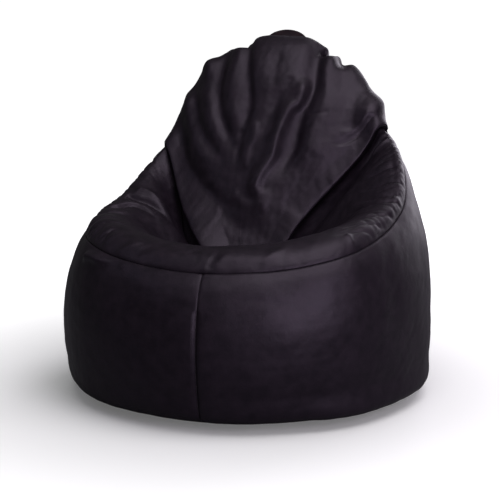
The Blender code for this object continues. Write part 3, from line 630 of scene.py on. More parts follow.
def leather(name, dark, pale, roughness, bump=0.16):
    """Faux leather: a near-black skin with pressed grain, a little paler and duller in patches."""
    finish, shader, place = new_finish(name, dark, 0.4)
    shader.inputs["Specular IOR Level"].default_value = 0.34
    shader.inputs["Specular Tint"].default_value = LEATHER_TINT
    tree = finish.node_tree
    skin_grain = add_node(tree, "ShaderNodeGroup", {}, node_tree=grain)
    tree.links.new(place, skin_grain.inputs["Coordinates"])
    tinted(tree, shader, spread(tree, skin_grain.outputs["Tone"], 0.3, 0.7, 0.0, 1.0), dark, pale)
    polish_seen = spread(tree, skin_grain.outputs["Polish"], 0.3, 0.7, *roughness)
    tree.links.new(polish_seen, shader.inputs["Roughness"])
    embossed(tree, shader, skin_grain.outputs["Height"], bump, GRAIN_DEPTH)
    return finish


cover_leather = leather(
    "cover_leather", (0.0060, 0.0038, 0.0068), (0.0130, 0.0084, 0.0136), (0.40, 0.52), bump=0.24
)

from_front_to_rear, from_rear_to_front = list(range(FRONT, REAR + 1)), list(range(REAR, cover.count + 1))
over_seat, over_back = list(range(-RIGHT, RIGHT + 1)), list(range(RIGHT, LEFT + 1))
wall_rows, seat_rows, pan_rows = list(range(SEAM + 1)), list(range(SEAM, PAN + 1)), list(range(PAN, LAST + 1))
PANELS = {
    "side_panel_right": [(thinned(from_front_to_rear), thinned(wall_rows), False)],
    "side_panel_left": [(thinned(from_rear_to_front), thinned(wall_rows), False)],
    "seat_panel": [(thinned(over_seat), thinned(seat_rows), False),
                   (thinned(over_seat) + thinned(over_back)[1:], thinned(pan_rows), True)],
    "backrest_panel": [(thinned(over_back), thinned(seat_rows), False)],
}
for name, blocks in PANELS.items():
    panel = cut_panel(f"{name}_leather", cover, blocks, cover_leather, LEATHER)
    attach(panel, "bag")
    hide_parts(name)

# ---------------------------------------------------------------- the base
# A round base of the same leather, sewn to the foot of the walls. It lies flat on the floor, turned up a
# little at its edge.

BASE_FLAT = 0.90


def base_disc(name, floor_height, edge_radius, thickness, finish, columns=144):
    """A closed round piece, flat below and turned up to the walls round its edge."""
    radius = BASE_RADIUS * MM
    slope = (RIM_HEIGHT * MM - LEATHER - 1.0 * MM) / (radius * (1 - BASE_FLAT))
    flat_edge = BASE_FLAT * radius
    radii = list(np.linspace(0, flat_edge, 15)[1:]) + list(np.linspace(flat_edge, edge_radius, 6)[1:])
    points, faces = [], []
    for up in (0, thickness):
        points.append((0, 0, floor_height + up))
        for r in radii:
            height = floor_height + up + slope * max(0.0, r - BASE_FLAT * radius)
            points += [(r * math.sin(t), -r * math.cos(t), height)
                       for t in (2 * math.pi * k / columns for k in range(columns))]
    layer, edge = 1 + len(radii) * columns, 1 + (len(radii) - 1) * columns
    for k in range(columns):
        after = (k + 1) % columns
        faces += [(0, 1 + after, 1 + k), (layer, layer + 1 + k, layer + 1 + after)]
        for ring in range(len(radii) - 1):
            low, high = 1 + ring * columns, 1 + (ring + 1) * columns
            faces.append((low + k, low + after, high + after, high + k))
            faces.append((layer + low + k, layer + high + k, layer + high + after, layer + low + after))
        faces.append((edge + k, edge + after, layer + edge + after, layer + edge + k))
    return make_mesh(name, points, faces, finish)


base = base_disc("base_panel_leather", 0.0, (BASE_RADIUS - 1.0) * MM, LEATHER, cover_leather)
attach(base, "bag")
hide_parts("base_panel")

# ---------------------------------------------------------------- the seams' stitching
# Dark bonded thread in a lock stitch, about four stitches to 15 mm, down in every seam. Each stitch
# is a short bowed length of thread whose ends dip between the two panels.

STITCH, STITCH_GAP, THREAD = 3.4 * MM, 0.6 * MM, 0.35 * MM


def sew(path, out, pitch=STITCH + STITCH_GAP, thick=THREAD, bow=0.3 * MM):
    """The points and faces of a row of stitches along a path, bowed out along out."""
    path, out = np.array(path), np.array(out)
    run = np.concatenate([[0], np.cumsum(np.linalg.norm(np.diff(path, axis=0), axis=1))])
    count = max(1, int(run[-1] / pitch))
    points, faces = [], []
    for k in range(count):
        start = k * run[-1] / count
        at = start + np.linspace(0.0, 1.0, 5) * (run[-1] / count - STITCH_GAP)
        middle = np.stack([np.interp(at, run, path[:, c]) for c in range(3)], axis=1)
        away = np.stack([np.interp(at, run, out[:, c]) for c in range(3)], axis=1)
        away /= np.linalg.norm(away, axis=1, keepdims=True)
        along = middle[-1] - middle[0]
        along /= np.linalg.norm(along)
        across = np.cross(along, away)
        middle = middle + away * (np.array((-1.0, 0.6, 1.0, 0.6, -1.0)) * bow)[:, None]
        first = len(points)
        for m, a, c, size in zip(middle, away, across, (0.55, 0.95, 1.0, 0.95, 0.55)):
            points += [m + (a * math.sin(t) + c * math.cos(t)) * thick * size
                       for t in (math.pi * i / 3 for i in range(6))]
        for ring in range(4):
            low, high = first + 6 * ring, first + 6 * ring + 6
            faces += [(low + i, high + i, high + (i + 1) % 6, low + (i + 1) % 6) for i in range(6)]
        faces += [tuple(first + i for i in range(6)), tuple(first + 24 + i for i in reversed(range(6)))]
    return points, faces


def thread_finish(name, colour):
    """Twisted thread: fine slanting ridges, and a little paler where it catches the light."""
    finish, shader, place = new_finish(name, colour, 0.6)
    tree = finish.node_tree
    twist = add_node(tree, "ShaderNodeTexWave", {
        "Vector": place, "Scale": 900.0, "Distortion": 2.0, "Detail": 1.0,
    }, bands_direction="DIAGONAL")
    tinted(tree, shader, twist.outputs["Fac"], [0.6 * c for c in colour], [1.5 * c for c in colour])
    embossed(tree, shader, twist.outputs["Fac"], 0.5, 0.2 * MM)
    return finish


dark_thread = thread_finish("dark_thread", (0.030, 0.026, 0.032))


def net_path(columns, rows):
    keys = [(c % cover.count, r) for c in columns for r in rows]
    return [cover.form[key] for key in keys], [cover.out[key] for key in keys]


def stitched(name, rows_of_path, nodes, finish=dark_thread, body="bag"):
    """One piece of stitching from one or more paths, each with the direction out of it."""
    points, faces = [], []
    for path, out in rows_of_path:
        more, ends = sew(path, out)
        faces += [tuple(i + len(points) for i in face) for face in ends]
        points += more
    made = make_mesh(name, points, faces, finish)
    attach(made, body)
    if nodes:
        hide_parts(*nodes)
    return made


back_columns, seat_columns = range(RIGHT, LEFT + 1), range(-RIGHT, RIGHT + 1)
zip_top = cover.row(ZIP_LAST)
stitched("front_seam_stitches", [net_path([FRONT], wall_rows[3:-3])], ["front_seam_thread"])
stitched("rear_seam_stitches", [net_path([REAR], wall_rows[zip_top + 3:-3])], ["rear_seam_thread"])
stitched("seat_seam_stitches", [net_path(seat_columns, [SEAM])], ["seat_seam_thread"])
stitched("crown_seam_stitches", [net_path(back_columns, [SEAM])], ["crown_seam_thread"])
right_edge, right_out = net_path([RIGHT], seat_rows[3:])
foot, foot_out = net_path(list(back_columns)[1:-1], [PAN])
left_edge, left_out = net_path([LEFT], seat_rows[:2:-1])
stitched("backrest_seam_stitches", [(right_edge + foot + left_edge, right_out + foot_out + left_out)],
         ["backrest_seam_thread"])
rim = [(math.sin(t), -math.cos(t)) for t in np.linspace(0, 2 * math.pi, 241)]
rim_path = [(x * BASE_RADIUS * MM, y * BASE_RADIUS * MM, RIM_HEIGHT * MM - 0.7 * MM) for x, y in rim]
stitched("base_seam_stitches", [(rim_path, [(x, y, -0.6) for x, y in rim])], ["base_seam_thread"])


def beside_slot(sign, across):
    """A line down the back beside the zip's slot, just proud of the leather."""
    rows = [r for r in wall_rows if 0.64 <= ROWS[r] <= 2.98]
    path, out = net_path([REAR], rows)
    return [p + (sign * across, 0, 0) + np.array(o) * 0.25 * MM for p, o in zip(path, out)], out


beside_rows = [beside_slot(sign, across * MM) for sign in (1, -1) for across in (10.5, 13.5)]
stitched("zip_top_stitches", beside_rows, [])

# ---------------------------------------------------------------- the liner
# The inner bag, in two halves of plain white non-woven cloth and a round base. It is cut a little
# smaller than the cover, so it lies smooth under it and never shows but through the zip's slot.

CLOTH = 0.6 * MM
LINER_COLUMNS = [3.75 * step for step in range(96)]
LINER_ROWS = sorted({0.0, 0.25, 0.5, 0.62, 0.9, 3.0, 3.1, 3.3, 3.6, 4.0, *np.arange(1.2, 2.9, 0.3),
                     *np.arange(4.25, 9.9, 0.25), 9.9})
under_cover = Net(LINER_COLUMNS, LINER_ROWS)
ring_near = abs(ROWS[:, None] - under_cover.rows[None]) <= 0.30
lowest = np.zeros((under_cover.count, len(under_cover.rows)))
for k, angle in enumerate(under_cover.angles):
    near = abs((ANGLES - angle + 180) % 360 - 180) <= 5.0
    column = (lift - np.linalg.norm(shift, axis=2) * 0.3)[near].min(axis=0)
    lowest[k] = [column[ring_near[:, j]].min() for j in range(len(under_cover.rows))]
deepest = lowest.copy()
for _ in range(3):
    lowest = (2 * lowest + np.roll(lowest, 1, 0) + np.roll(lowest, -1, 0)) / 4
    lowest[:, 1:-1] = (2 * lowest[:, 1:-1] + lowest[:, :-2] + lowest[:, 2:]) / 4
    lowest = np.minimum(lowest, deepest)
x, y = abs(under_cover.plain[..., 0]), under_cover.plain[..., 1]
low_ring = under_cover.rows[None] + 0 * x
clear_of_zip = np.where((y > 0) & (low_ring < 3.7), eased(x, 30 * MM, 72 * MM), 1.0)
clear_of_zip = np.maximum(clear_of_zip, np.maximum(eased(low_ring, 3.3, 3.6), eased(low_ring, 0.5, 0.0)))


def under_lift(gap, behind_zip):
    """How deep a layer lies: a gap below the cover's lowest folds, and deeper behind the zip."""
    depth = lowest - gap * np.minimum(1.0, low_ring / 0.25)
    return np.minimum(-1.8 * MM, depth) * clear_of_zip - behind_zip * (1 - clear_of_zip)


# Plain weave: two crossed sets of threads with the small shadows between them, and a faint slub.
weave, weave_in, weave_out = new_group("plain_weave", (("Thread Scale", 260.0),), ("Height", "Shade", "Slub"))
warp, weft = (add_node(weave, "ShaderNodeTexWave", {
    "Vector": weave_in.outputs["Coordinates"], "Scale": weave_in.outputs["Thread Scale"], "Distortion": 0.6,
}, bands_direction=way) for way in ("X", "Z"))
slub = add_node(weave, "ShaderNodeTexNoise", {
    "Vector": weave_in.outputs["Coordinates"], "Scale": 60.0, "Detail": 3.0,
})
threads = calc(weave, "MAXIMUM", warp.outputs["Fac"], weft.outputs["Fac"])
weave.links.new(threads, weave_out.inputs["Height"])
weave.links.new(calc(weave, "MULTIPLY", threads, spread(weave, slub.outputs["Fac"], 0.2, 0.8, 0.75, 1.1)),
                weave_out.inputs["Shade"])
weave.links.new(slub.outputs["Fac"], weave_out.inputs["Slub"])


def cloth(name, pale, dark, scale):
    """Plain woven cloth, dull and a little uneven."""
    finish, shader, place = new_finish(name, pale, 0.8)
    tree = finish.node_tree
    woven = add_node(tree, "ShaderNodeGroup", {}, node_tree=weave)
    tree.links.new(place, woven.inputs["Coordinates"])
    woven.inputs["Thread Scale"].default_value = scale
    tinted(tree, shader, woven.outputs["Shade"], dark, pale)
    tree.links.new(spread(tree, woven.outputs["Slub"], 0.3, 0.7, 0.72, 0.88), shader.inputs["Roughness"])
    embossed(tree, shader, woven.outputs["Height"], 0.35, 0.3 * MM)
    return finish


liner_cloth = cloth("white_liner_cloth", (0.78, 0.78, 0.76), (0.60, 0.60, 0.58), 260.0)
under_cover.shape(under_lift(5.0 * MM, 15.8 * MM))
rear_column, top_row = under_cover.rear, len(LINER_ROWS)
for name, columns in (("liner_right", range(rear_column + 1)), ("liner_left", range(rear_column, 97))):
    blocks = [(list(columns), list(range(top_row)), True)]
    half = cut_panel(f"{name}_cloth", under_cover, blocks, liner_cloth, CLOTH)
    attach(half, "bag")
    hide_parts(name)
liner_radius = (BASE_RADIUS - 2.8) * MM
liner_base = base_disc("liner_base_cloth", 1.8 * MM, liner_radius, CLOTH, liner_cloth, columns=96)
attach(liner_base, "bag")
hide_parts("liner_base")

# ---------------------------------------------------------------- the bead fill
# Loose white foam beads two to four millimetres across, taken as one soft mass that fills the liner.

beads, bead_shader, bead_place = new_finish("foam_beads", (0.90, 0.90, 0.89), 0.7)
bead_tree = beads.node_tree
bead_cells = add_node(bead_tree, "ShaderNodeTexVoronoi", {"Vector": bead_place, "Scale": 320.0})
# Each bead is painted pale at its middle and darker at its edges: painted light on its top and painted shade
# between the beads.
bead_painted_light_and_shade = spread(bead_tree, bead_cells.outputs["Distance"], 0.1, 0.8, 1.0, 0.0)
tinted(bead_tree, bead_shader, bead_painted_light_and_shade, (0.55, 0.55, 0.54), (0.90, 0.90, 0.89))
bead_rounds = spread(bead_tree, bead_cells.outputs["Distance"], 0.0, 0.8, 1.0, 0.0)
embossed(bead_tree, bead_shader, bead_rounds, 0.8, 2 * MM)

under_cover.shape(under_lift(9.0 * MM, 26.0 * MM))
keys = [(c, r) for c in range(under_cover.count) for r in range(top_row)] + ["pole"]
index = {key: i for i, key in enumerate(keys)}
points = [under_cover.after(key)[0] for key in keys]
for i, (c, r) in enumerate(keys[:-1]):
    if r == 0:
        turn = math.radians(under_cover.angles[c])
        radius = (BASE_RADIUS - 7.0) * MM
        points[i] = np.array((radius * math.sin(turn), -radius * math.cos(turn), 17.0 * MM))
every_row = [(list(range(under_cover.count + 1)), list(range(top_row)), True)]
faces = [[index[key] for key in face] for face in net_faces(under_cover, every_row)]
foot_ring = [index[c, 0] for c in range(under_cover.count)]
for radius, height in ((340, 4.2), (200, 4.2)):
    ring = [len(points) + k for k in range(under_cover.count)]
    for angle in np.radians(under_cover.angles):
        points.append((radius * MM * math.sin(angle), -radius * MM * math.cos(angle), height * MM))
    for k in range(under_cover.count):
        after = (k + 1) % under_cover.count
        faces.append([ring[k], ring[after], foot_ring[after], foot_ring[k]])
    foot_ring = ring
faces.append(foot_ring[::-1])
fill = make_mesh("bead_fill_mass", points, faces, beads)
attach(fill, "bag")
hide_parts("bead_fill")

# ---------------------------------------------------------------- the zips
# Two nylon coil zips, one in the cover's rear seam and one behind it in the liner. Each has two woven
# tapes sewn under the slot's edges, a row of teeth on each tape, a stop at each end and a slider.

ZIP_INSET = 0.6 * MM
SLIDER_REST, SLIDER_TOP, SLIDER_LENGTH = 112 * MM, 530 * MM, 24 * MM
TOOTH_PITCH = 2.0 * MM


def arc_angle(z):
    return math.asin((z - ZIP_CENTRE[2]) / ZIP_RADIUS)


def arc_frame(angle, depth):
    """A frame on the zip's arc: X across the chair, Y out of the back, Z up along the zip."""
    radius = ZIP_RADIUS - depth
    y, z = ZIP_CENTRE[1] + radius * math.cos(angle), ZIP_CENTRE[2] + radius * math.sin(angle)
    return Matrix.Translation((0, y, z)) @ Matrix.Rotation(angle, 4, "X")


def woven_tape():
    """Zip tape: a tight herringbone of black threads, duller than the teeth."""
    finish, shader, place = new_finish("woven_zip_tape", (0.018, 0.018, 0.020), 0.85)
    tree = finish.node_tree
    thread_waves = {"Vector": place, "Scale": 420.0, "Distortion": 0.3}
    slanting, straight = (
        add_node(tree, "ShaderNodeTexWave", thread_waves, bands_direction=way) for way in ("DIAGONAL", "X")
    )
    ribs = calc(tree, "MAXIMUM", slanting.outputs["Fac"], straight.outputs["Fac"])
    # The tape is painted paler on its raised threads and darker between them: painted shade in the weave.
    tinted(tree, shader, ribs, (0.008, 0.008, 0.009), (0.028, 0.028, 0.031))
    embossed(tree, shader, ribs, 0.6, 0.3 * MM)
    return finish


# Handling marks: fine scratches and finger marks, at a scale set by each material.
handling, handling_in, handling_out = new_group("handling_marks", (("Scratch Scale", 300.0),), ("Marks",))
marks = add_node(handling, "ShaderNodeTexNoise", {
    "Vector": handling_in.outputs["Coordinates"], "Scale": handling_in.outputs["Scratch Scale"],
    "Detail": 5.0, "Roughness": 0.65,
})
handling.links.new(marks.outputs["Fac"], handling_out.inputs["Marks"])


def worn_finish(name, colour, roughness, metallic, scratch_scale):
    """Nylon or painted zinc whose marks change how rough it is."""
    finish, shader, place = new_finish(name, colour, roughness, metallic)
    tree = finish.node_tree
    worn = add_node(tree, "ShaderNodeGroup", {}, node_tree=handling)
    tree.links.new(place, worn.inputs["Coordinates"])
    worn.inputs["Scratch Scale"].default_value = scratch_scale
    tree.links.new(spread(tree, worn.outputs["Marks"], 0.3, 0.7, roughness - 0.10, roughness + 0.14),
                   shader.inputs["Roughness"])
    tinted(tree, shader, worn.outputs["Marks"], [0.75 * c for c in colour], [1.25 * c for c in colour])
    embossed(tree, shader, worn.outputs["Marks"], 0.15, 0.2 * MM)
    return finish


zip_tape_cloth = woven_tape()
zip_nylon = worn_finish("black_nylon_teeth", (0.022, 0.022, 0.024), 0.35, 0.0, 300.0)
zip_zinc = worn_finish("gunmetal_zinc", (0.100, 0.098, 0.100), 0.32, 1.0, 420.0)


def teeth(name, sign, depth):
    """One row of coil teeth: short rounded loops set side by side, leaning a little, along the arc."""
    low = arc_angle(SLIDER_REST) - (SLIDER_LENGTH / 2 + 2 * MM) / ZIP_RADIUS
    high = arc_angle(SLIDER_TOP) + (SLIDER_LENGTH / 2 + 2 * MM) / ZIP_RADIUS
    count = int((high - low) * ZIP_RADIUS / TOOTH_PITCH)
    points, faces = [], []
    for k in range(count):
        offset = 0.5 if sign > 0 else 0.0
        angle = low + (k + 0.25 + 0.5 * offset) * (high - low) / count
        at = arc_frame(angle, depth)
        first = len(points)
        for x, size in ((0.35, 0.45), (0.9, 0.72), (2.2, 0.66), (3.3, 0.45)):
            for corner in range(6):
                turn = math.pi * corner / 3
                y = -1.0 + math.cos(turn) * 1.05 * size
                z = math.sin(turn) * 0.80 * size + 0.12 * x
                points.append(at @ Vector((sign * x * MM, y * MM, z * MM)))
        for ring in range(3):
            a, b = first + 6 * ring, first + 6 * ring + 6
            quads = [(a + i, a + (i + 1) % 6, b + (i + 1) % 6, b + i) for i in range(6)]
            faces += quads if sign > 0 else [q[::-1] for q in quads]
        ends = [tuple(first + i for i in reversed(range(6))), tuple(first + 18 + i for i in range(6))]
        faces += ends if sign > 0 else [e[::-1] for e in ends]
    return make_mesh(name, points, faces, zip_nylon)


def box_between(low, high):
    """A block between two corners, in millimetres, left selected in edit mode's mesh."""
    bpy.ops.mesh.primitive_cube_add(size=1, location=(0, 0, 0))
    block = bpy.context.object
    for vertex in block.data.vertices:
        vertex.co = [(l if c < 0 else h) * MM for c, l, h in zip(vertex.co, low, high)]
    return block


def joined(name, blocks, bevel, finish, at):
    """Blocks run into one casting with rounded edges, set in its place."""
    bpy.ops.object.select_all(action="DESELECT")
    whole = blocks[0]
    bpy.context.view_layer.objects.active = whole
    for block in blocks[1:]:
        union = whole.modifiers.new("union", "BOOLEAN")
        union.operation, union.object, union.solver = "UNION", block, "EXACT"
        bpy.ops.object.modifier_apply(modifier="union")
        bpy.data.objects.remove(block)
    round_over = whole.modifiers.new("bevel", "BEVEL")
    round_over.width, round_over.segments, round_over.limit_method = bevel, 2, "ANGLE"
    bpy.ops.object.modifier_apply(modifier="bevel")
    whole.data.transform(at)
    whole.data.materials.clear()
    whole.data.materials.append(finish)
    whole.select_set(True)
    bpy.ops.object.shade_smooth_by_angle(angle=math.radians(35))
    bpy.ops.object.select_all(action="DESELECT")
    whole.name = whole.data.name = name
    return whole


def slider(name, depth, with_bail):
    """The slider: a shaped top plate and bottom plate joined by a post, with lips, and a bail on top."""
    top = box_between((-6, 0.8, -12), (6, 2.6, 12))
    bpy.ops.object.mode_set(mode="EDIT")
    shape = bmesh.from_edit_mesh(top.data)
    for edge in shape.edges:
        low_end = all(v.co.z < 0 for v in edge.verts) and abs(edge.verts[0].co.x - edge.verts[1].co.x) < 1e-6
        edge.select = low_end and abs(edge.verts[0].co.y - edge.verts[1].co.y) > 1e-6
    bmesh.update_edit_mesh(top.data)
    bpy.ops.mesh.bevel(offset=3.6 * MM, segments=5)
    bpy.ops.object.mode_set(mode="OBJECT")
    blocks = [
        top, box_between((-6, -5.6, -12), (6, -3.8, 12)), box_between((-0.4, -4.0, -11), (0.4, 1.0, -4)),
        box_between((-6, -2.1, -7), (-4.2, 1.0, 12)), box_between((4.2, -2.1, -7), (6, 1.0, 12)),
    ]
    if with_bail:
        blocks += [
            box_between((-1.2, 2.4, 3.0), (1.2, 7.2, 4.6)), box_between((-1.2, 2.4, -4.6), (1.2, 7.2, -3.0)),
            box_between((-1.2, 5.9, -4.6), (1.2, 7.2, 4.6)),
        ]
    return joined(name, blocks, 0.25 * MM, zip_zinc, arc_frame(arc_angle(SLIDER_REST), depth))


def pull_tab():
    """The pull: a pin through the bail, two arms past it, and a flat tab with a hole."""
    tab = box_between((-4.5, -0.7, -30), (4.5, 0.7, -9))
    hole = box_between((-2.0, -2.0, -27), (2.0, 2.0, -23.5))
    bpy.context.view_layer.objects.active = tab
    cut = tab.modifiers.new("cut", "BOOLEAN")
    cut.operation, cut.object, cut.solver = "DIFFERENCE", hole, "EXACT"
    bpy.ops.object.modifier_apply(modifier="cut")
    bpy.data.objects.remove(hole)
    blocks = [
        tab, box_between((-3.4, -0.7, -10), (-1.8, 0.7, 0.8)), box_between((1.8, -0.7, -10), (3.4, 0.7, 0.8)),
        box_between((-3.4, -0.8, -0.8), (3.4, 0.8, 0.8)),
    ]
    pin = arc_frame(arc_angle(SLIDER_REST), ZIP_INSET) @ Vector((0, 4.4 * MM, 0))
    return joined("zip_pull_tab", blocks, 0.2 * MM, zip_zinc, Matrix.Translation(pin))


for prefix, depth in (("zip", ZIP_INSET), ("liner_zip", ZIP_INSET + 15.8 * MM)):
    for side, sign in (("right", 1), ("left", -1)):
        row = teeth(f"{prefix}_teeth_{side}", sign, depth)
        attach(row, "bag")
        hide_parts(f"{prefix}_coil_{side}")
        tape = frame["nodes"][f"{prefix}_tape_{side}"]
        tape.data.materials.clear()
        tape.data.materials.append(zip_tape_cloth)
    for end in ("lower", "upper"):
        stop = frame["nodes"][f"{prefix}_stop_{end}"]
        stop.data.materials.clear()
        stop.data.materials.append(zip_zinc)
    body = f"{prefix}_slider"
    casting = slider(f"{prefix}_slider_casting", depth, prefix == "zip")
    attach(casting, body)
    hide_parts(body)
tab = pull_tab()
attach(tab, "zip_pull")
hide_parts("zip_pull")

# ---------------------------------------------------------------- the carry handle
# A flat band of folded leatherette, 22 mm wide and stitched down both edges, whose two ends are sewn into the
# crown seam. It arches up behind the crown, tilted about its hinge, and bends at its sewn ends down into the
# seam.

HANDLE_SPAN, HANDLE_WIDTH, HANDLE_THICK, HANDLE_RISE, HANDLE_LEAN = 50 * MM, 22 * MM, 3 * MM, 60 * MM, 24.0
HANDLE_FOOT = 0.10  # the share of the band's length in each sewn end
# The handle's leather is a warmer, paler brown than the cover's: this colour is painted warm rim light on the
# band.
handle_painted_warm_light_leather = leather("handle_painted_warm_light_leather", (0.0105, 0.0060, 0.0070), (0.0190, 0.0100, 0.0105), (0.34, 0.46))

crown_point, crown_out = plain[REAR, SEAM], plain_out[REAR, SEAM]
hinge = next(j for j in frame["joints"] if j["name"] == "handle_swing")["pos_m"]
raised = Matrix.Translation(Vector(hinge)) @ Matrix.Rotation(-math.radians(HANDLE_LEAN), 4, "X")
upward = raised.to_3x3() @ Vector((0, 0, 1))


def seam_at(x):
    """A point in the crown seam at a distance from its middle."""
    columns = [c for c in range(REAR - 80, REAR + 81)]
    line = sorted((cover.form[c, SEAM].tolist() for c in columns))
    xs, ys, zs = zip(*line)
    return Vector((x, np.interp(x, xs, ys), np.interp(x, xs, zs)))


def handle_line(t):
    """The band's middle line with the directions across and through it, t from 0 at the left end to 1."""
    angle = math.pi * (t - HANDLE_FOOT) / (1 - 2 * HANDLE_FOOT)
    if 0 <= angle <= math.pi:
        x, z = -HANDLE_SPAN * math.cos(angle), (HANDLE_RISE - 19 * MM) * math.sin(angle) ** 0.8
        lean = math.cos(angle)
        slope = Vector((-0.35 * lean - math.copysign(0.65, lean) * abs(lean) ** 3, 0, math.sin(angle)))
        return raised @ Vector((x, 0, z + 2 * MM)), turned @ slope.normalized(), turned @ Vector((0, 1, 0))
    side = -1 if angle < 0 else 1
    foot_turn = math.pi * HANDLE_FOOT / (1 - 2 * HANDLE_FOOT)
    part = min(1.0, (-angle if angle < 0 else angle - math.pi) / foot_turn)
    root = raised @ Vector((side * HANDLE_SPAN, 0, 2 * MM))
    foot = seam_at(side * HANDLE_SPAN) - Vector(crown_out) * 2 * MM
    stops = [root, root - upward * 4 * MM, foot + Vector(crown_out) * 5 * MM, foot]
    while len(stops) > 2:
        stops = [a.lerp(b, part) for a, b in zip(stops, stops[1:])]
    heading = (stops[0] - stops[1]).normalized()
    through = Vector((0, heading.z, -heading.y)).normalized()
    return stops[0].lerp(stops[1], part), Vector((side, 0, 0)), through


turned = raised.to_3x3()
steps, points, faces, stitch_rows, stitch_out = 80, [], [], ([], []), []
under_side = [(-1, -0.5), (-0.94, -0.85), (-0.82, -1), (-0.6, -0.82), (0, -0.78), (0.6, -0.82), (0.82, -1),
              (0.94, -0.85), (1, -0.5)]
section = under_side + [(a, -b) for a, b in reversed(under_side)]
for k in range(steps + 1):
    middle, wide, flat = handle_line(k / steps)
    stitch_out.append(flat)
    for a, b in section:
        points.append(middle + wide * (a * HANDLE_WIDTH / 2) + flat * (b * HANDLE_THICK / 2))
    for row, edge in zip(stitch_rows, (-0.7, 0.7)):
        row.append(middle + wide * (edge * HANDLE_WIDTH / 2) + flat * (HANDLE_THICK / 2 * 0.95))
ring = len(section)
for k in range(steps):
    low, high = k * ring, (k + 1) * ring
    faces += [(low + i, low + (i + 1) % ring, high + (i + 1) % ring, high + i) for i in range(ring)]
faces += [tuple(reversed(range(ring))), tuple(steps * ring + i for i in range(ring))]
band = make_mesh("handle_band", points, faces, handle_painted_warm_light_leather)
face_outward(band)
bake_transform(band)
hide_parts("handle_strap", "handle_tab_left", "handle_tab_right")
points, faces = [], []
for row in stitch_rows:
    more, ends = sew(row[5:-5], stitch_out[5:-5], pitch=4.2 * MM)
    faces += [tuple(i + len(points) for i in face) for face in ends]
    points += more
handle_stitches = make_mesh("handle_stitches", points, faces, dark_thread)
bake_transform(handle_stitches)

# ---------------------------------------------------------------- the care label
# A blank woven label, folded at its ends and sewn flat to the back beside the zip, with a stitched border.

LABEL_THICK, LABEL_CLEAR, LABEL_HEM = 0.6 * MM, 0.5 * MM, 3.0 * MM
label_cloth = cloth("off_white_label_cloth", (0.80, 0.79, 0.76), (0.55, 0.54, 0.51), 700.0)
label_low, label_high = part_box("care_label")
behind_wall = bpy.data.objects["side_panel_right_leather"]
bpy.context.view_layer.update()


def on_back(x, z):
    """The point on the back of the bag at a width and height, and the way out of it."""
    hit, place, out, face = behind_wall.ray_cast(Vector((x, 1, z)), Vector((0, -1, 0)))
    return place, out


label_xs = np.linspace(label_low.x, label_high.x, 33)
label_zs = np.linspace(label_low.z, label_high.z, 21)
label_out = sum((on_back(x, z)[1] for x in label_xs[::8] for z in label_zs[::5]), Vector()).normalized()
label_points = [[on_back(x, z)[0] + label_out * LABEL_CLEAR for z in label_zs] for x in label_xs]
points, faces, tall = [], [], len(label_zs)
for layer in (0, 1):
    for i, x in enumerate(label_xs):
        hem = min(x - label_xs[0], label_xs[-1] - x) < LABEL_HEM
        for j in range(tall):
            edge = i in (0, len(label_xs) - 1) or j in (0, tall - 1)
            rise = LABEL_THICK * (1.6 if hem else 1.0) * (0.72 if edge else 1.0)
            points.append(label_points[i][j] + label_out * (rise if layer else (0.12 * MM if edge else 0)))
top = len(label_xs) * tall
for i in range(len(label_xs) - 1):
    for j in range(tall - 1):
        a, b = i * tall + j, (i + 1) * tall + j
        faces += [(a, b, b + 1, a + 1), (top + a, top + a + 1, top + b + 1, top + b)]
rim = [i * tall for i in range(len(label_xs))] + [(len(label_xs) - 1) * tall + j for j in range(1, tall)]
rim += [i * tall + tall - 1 for i in range(len(label_xs) - 2, -1, -1)] + list(range(tall - 2, 0, -1))
faces += [(a, top + a, top + b, b) for a, b in zip(rim, rim[1:] + rim[:1])]
label = make_mesh("care_label_cloth", points, faces, label_cloth)
face_outward(label)
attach(label, "bag")
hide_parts("care_label")
near, far, low, high = 2, len(label_xs) - 3, 2, tall - 3
border = [(i, low) for i in range(near, far + 1)] + [(far, j) for j in range(low, high + 1)]
border += [(i, high) for i in range(far, near - 1, -1)] + [(near, j) for j in range(high, low - 1, -1)]
border_line = [label_points[i][j] + label_out * LABEL_THICK * 1.25 for i, j in border]
stitched("label_stitches", [(border_line, [label_out] * len(border))], [])

# ---------------------------------------------------------------- the studio
# A plain pale floor that glows white away from the bag and glows less near it, which paints a soft shadow
# round the bag, and soft studio light: broad lamps overhead, low on the right and behind, a faint cool one on
# the left. A long lens looks from the front right, a little above.

bpy.ops.mesh.primitive_circle_add(vertices=96, radius=60, fill_type="NGON", location=(0, 0, 0))
floor = bpy.context.object
floor.name = "floor"
floor_finish, floor_shader, floor_place = new_finish("pale_floor", (0.90, 0.90, 0.90), 0.6)
floor_shader.inputs["Specular IOR Level"].default_value = 0.1
floor_shader.inputs["Emission Color"].default_value = (1, 1, 1, 1)
floor_tree = floor_finish.node_tree
away = add_node(floor_tree, "ShaderNodeVectorMath", {0: floor_place}, operation="LENGTH").outputs["Value"]
# The floor's glow is dimmed near the bag: this is a painted shadow round it, not light held back by the bag.
floor_glow_and_painted_shadow = spread(floor_tree, away, 0.42, 1.20, 0.12, 0.78)
floor_tree.links.new(floor_glow_and_painted_shadow, floor_shader.inputs["Emission Strength"])
dull = add_node(floor_tree, "ShaderNodeBsdfDiffuse", {"Color": (0.22, 0.22, 0.23, 1)})
seen = add_node(floor_tree, "ShaderNodeLightPath")
pick = add_node(floor_tree, "ShaderNodeMixShader", {
    0: seen.outputs["Is Camera Ray"], 1: dull.outputs[0], 2: floor_shader.outputs[0],
})
floor_tree.links.new(pick.outputs[0], floor_tree.nodes["Material Output"].inputs["Surface"])
floor.data.materials.append(floor_finish)


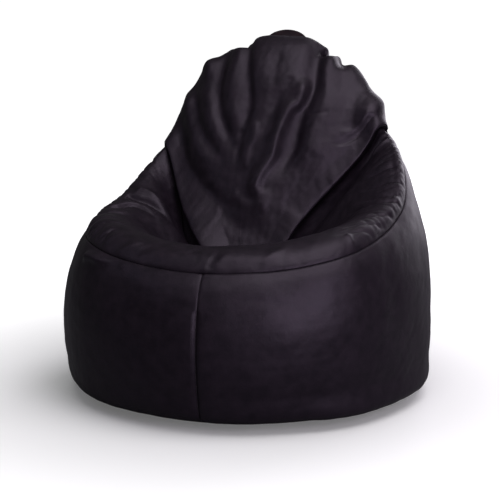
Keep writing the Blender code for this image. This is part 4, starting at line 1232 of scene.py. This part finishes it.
def lamp(name, place, aim, size, power, colour):
    """A soft square lamp, turned to face a point."""
    light = bpy.data.lights.new(name, "AREA")
    light.shape, light.size, light.energy, light.color = "SQUARE", size, power, colour
    made = bpy.data.objects.new(name, light)
    made.location = place
    made.rotation_euler = (Vector(aim) - Vector(place)).to_track_quat("-Z", "Y").to_euler()
    bpy.context.scene.collection.objects.link(made)


lamp("top_lamp", (1.2, -0.5, 2.9), (0, 0, 0.4), 2.0, 22, (1.0, 0.95, 1.0))
lamp("right_lamp", (2.5, -2.6, 1.35), (0, 0, 0.3), 2.2, 52, (0.95, 0.88, 1.0))
lamp("back_lamp", (1.1, 3.0, 1.4), (0, 0.3, 0.4), 2.2, 44, (0.95, 0.90, 1.0))
lamp("left_lamp", (-2.2, -1.2, 2.6), (0, 0, 0.5), 1.2, 3, (0.80, 0.82, 1.0))

sun = bpy.data.objects.new("sky_lamp", bpy.data.lights.new("sky_lamp", "SUN"))
sun.data.energy, sun.data.angle = 0.8, math.radians(50)
sun.rotation_euler = (math.radians(12), math.radians(10), 0)
bpy.context.scene.collection.objects.link(sun)

world = bpy.data.worlds.new("studio")
world.use_nodes = True
sky = world.node_tree.nodes["Background"]
sky.inputs["Color"].default_value = (1.0, 1.0, 1.0, 1.0)
ray = add_node(world.node_tree, "ShaderNodeLightPath")
sky_strength = spread(world.node_tree, ray.outputs["Is Camera Ray"], 0.0, 1.0, 0.08, 1.0)
world.node_tree.links.new(sky_strength, sky.inputs["Strength"])
bpy.context.scene.world = world
bpy.context.scene.view_settings.view_transform = "Standard"

AZIMUTH, ELEVATION, DISTANCE = math.radians(14), math.radians(11), 3.6
aim = Vector((0, 0, 0.330))
way = Vector((math.sin(AZIMUTH) * math.cos(ELEVATION), -math.cos(AZIMUTH) * math.cos(ELEVATION),
              math.sin(ELEVATION)))
camera = bpy.data.objects.new("camera", bpy.data.cameras.new("camera"))
camera.data.lens, camera.data.sensor_width, camera.data.shift_x = 107.6, 36.0, 0.006
camera.location = aim + way * DISTANCE
camera.rotation_euler = (-way).to_track_quat("-Z", "Y").to_euler()
bpy.context.scene.collection.objects.link(camera)
bpy.context.scene.camera = camera
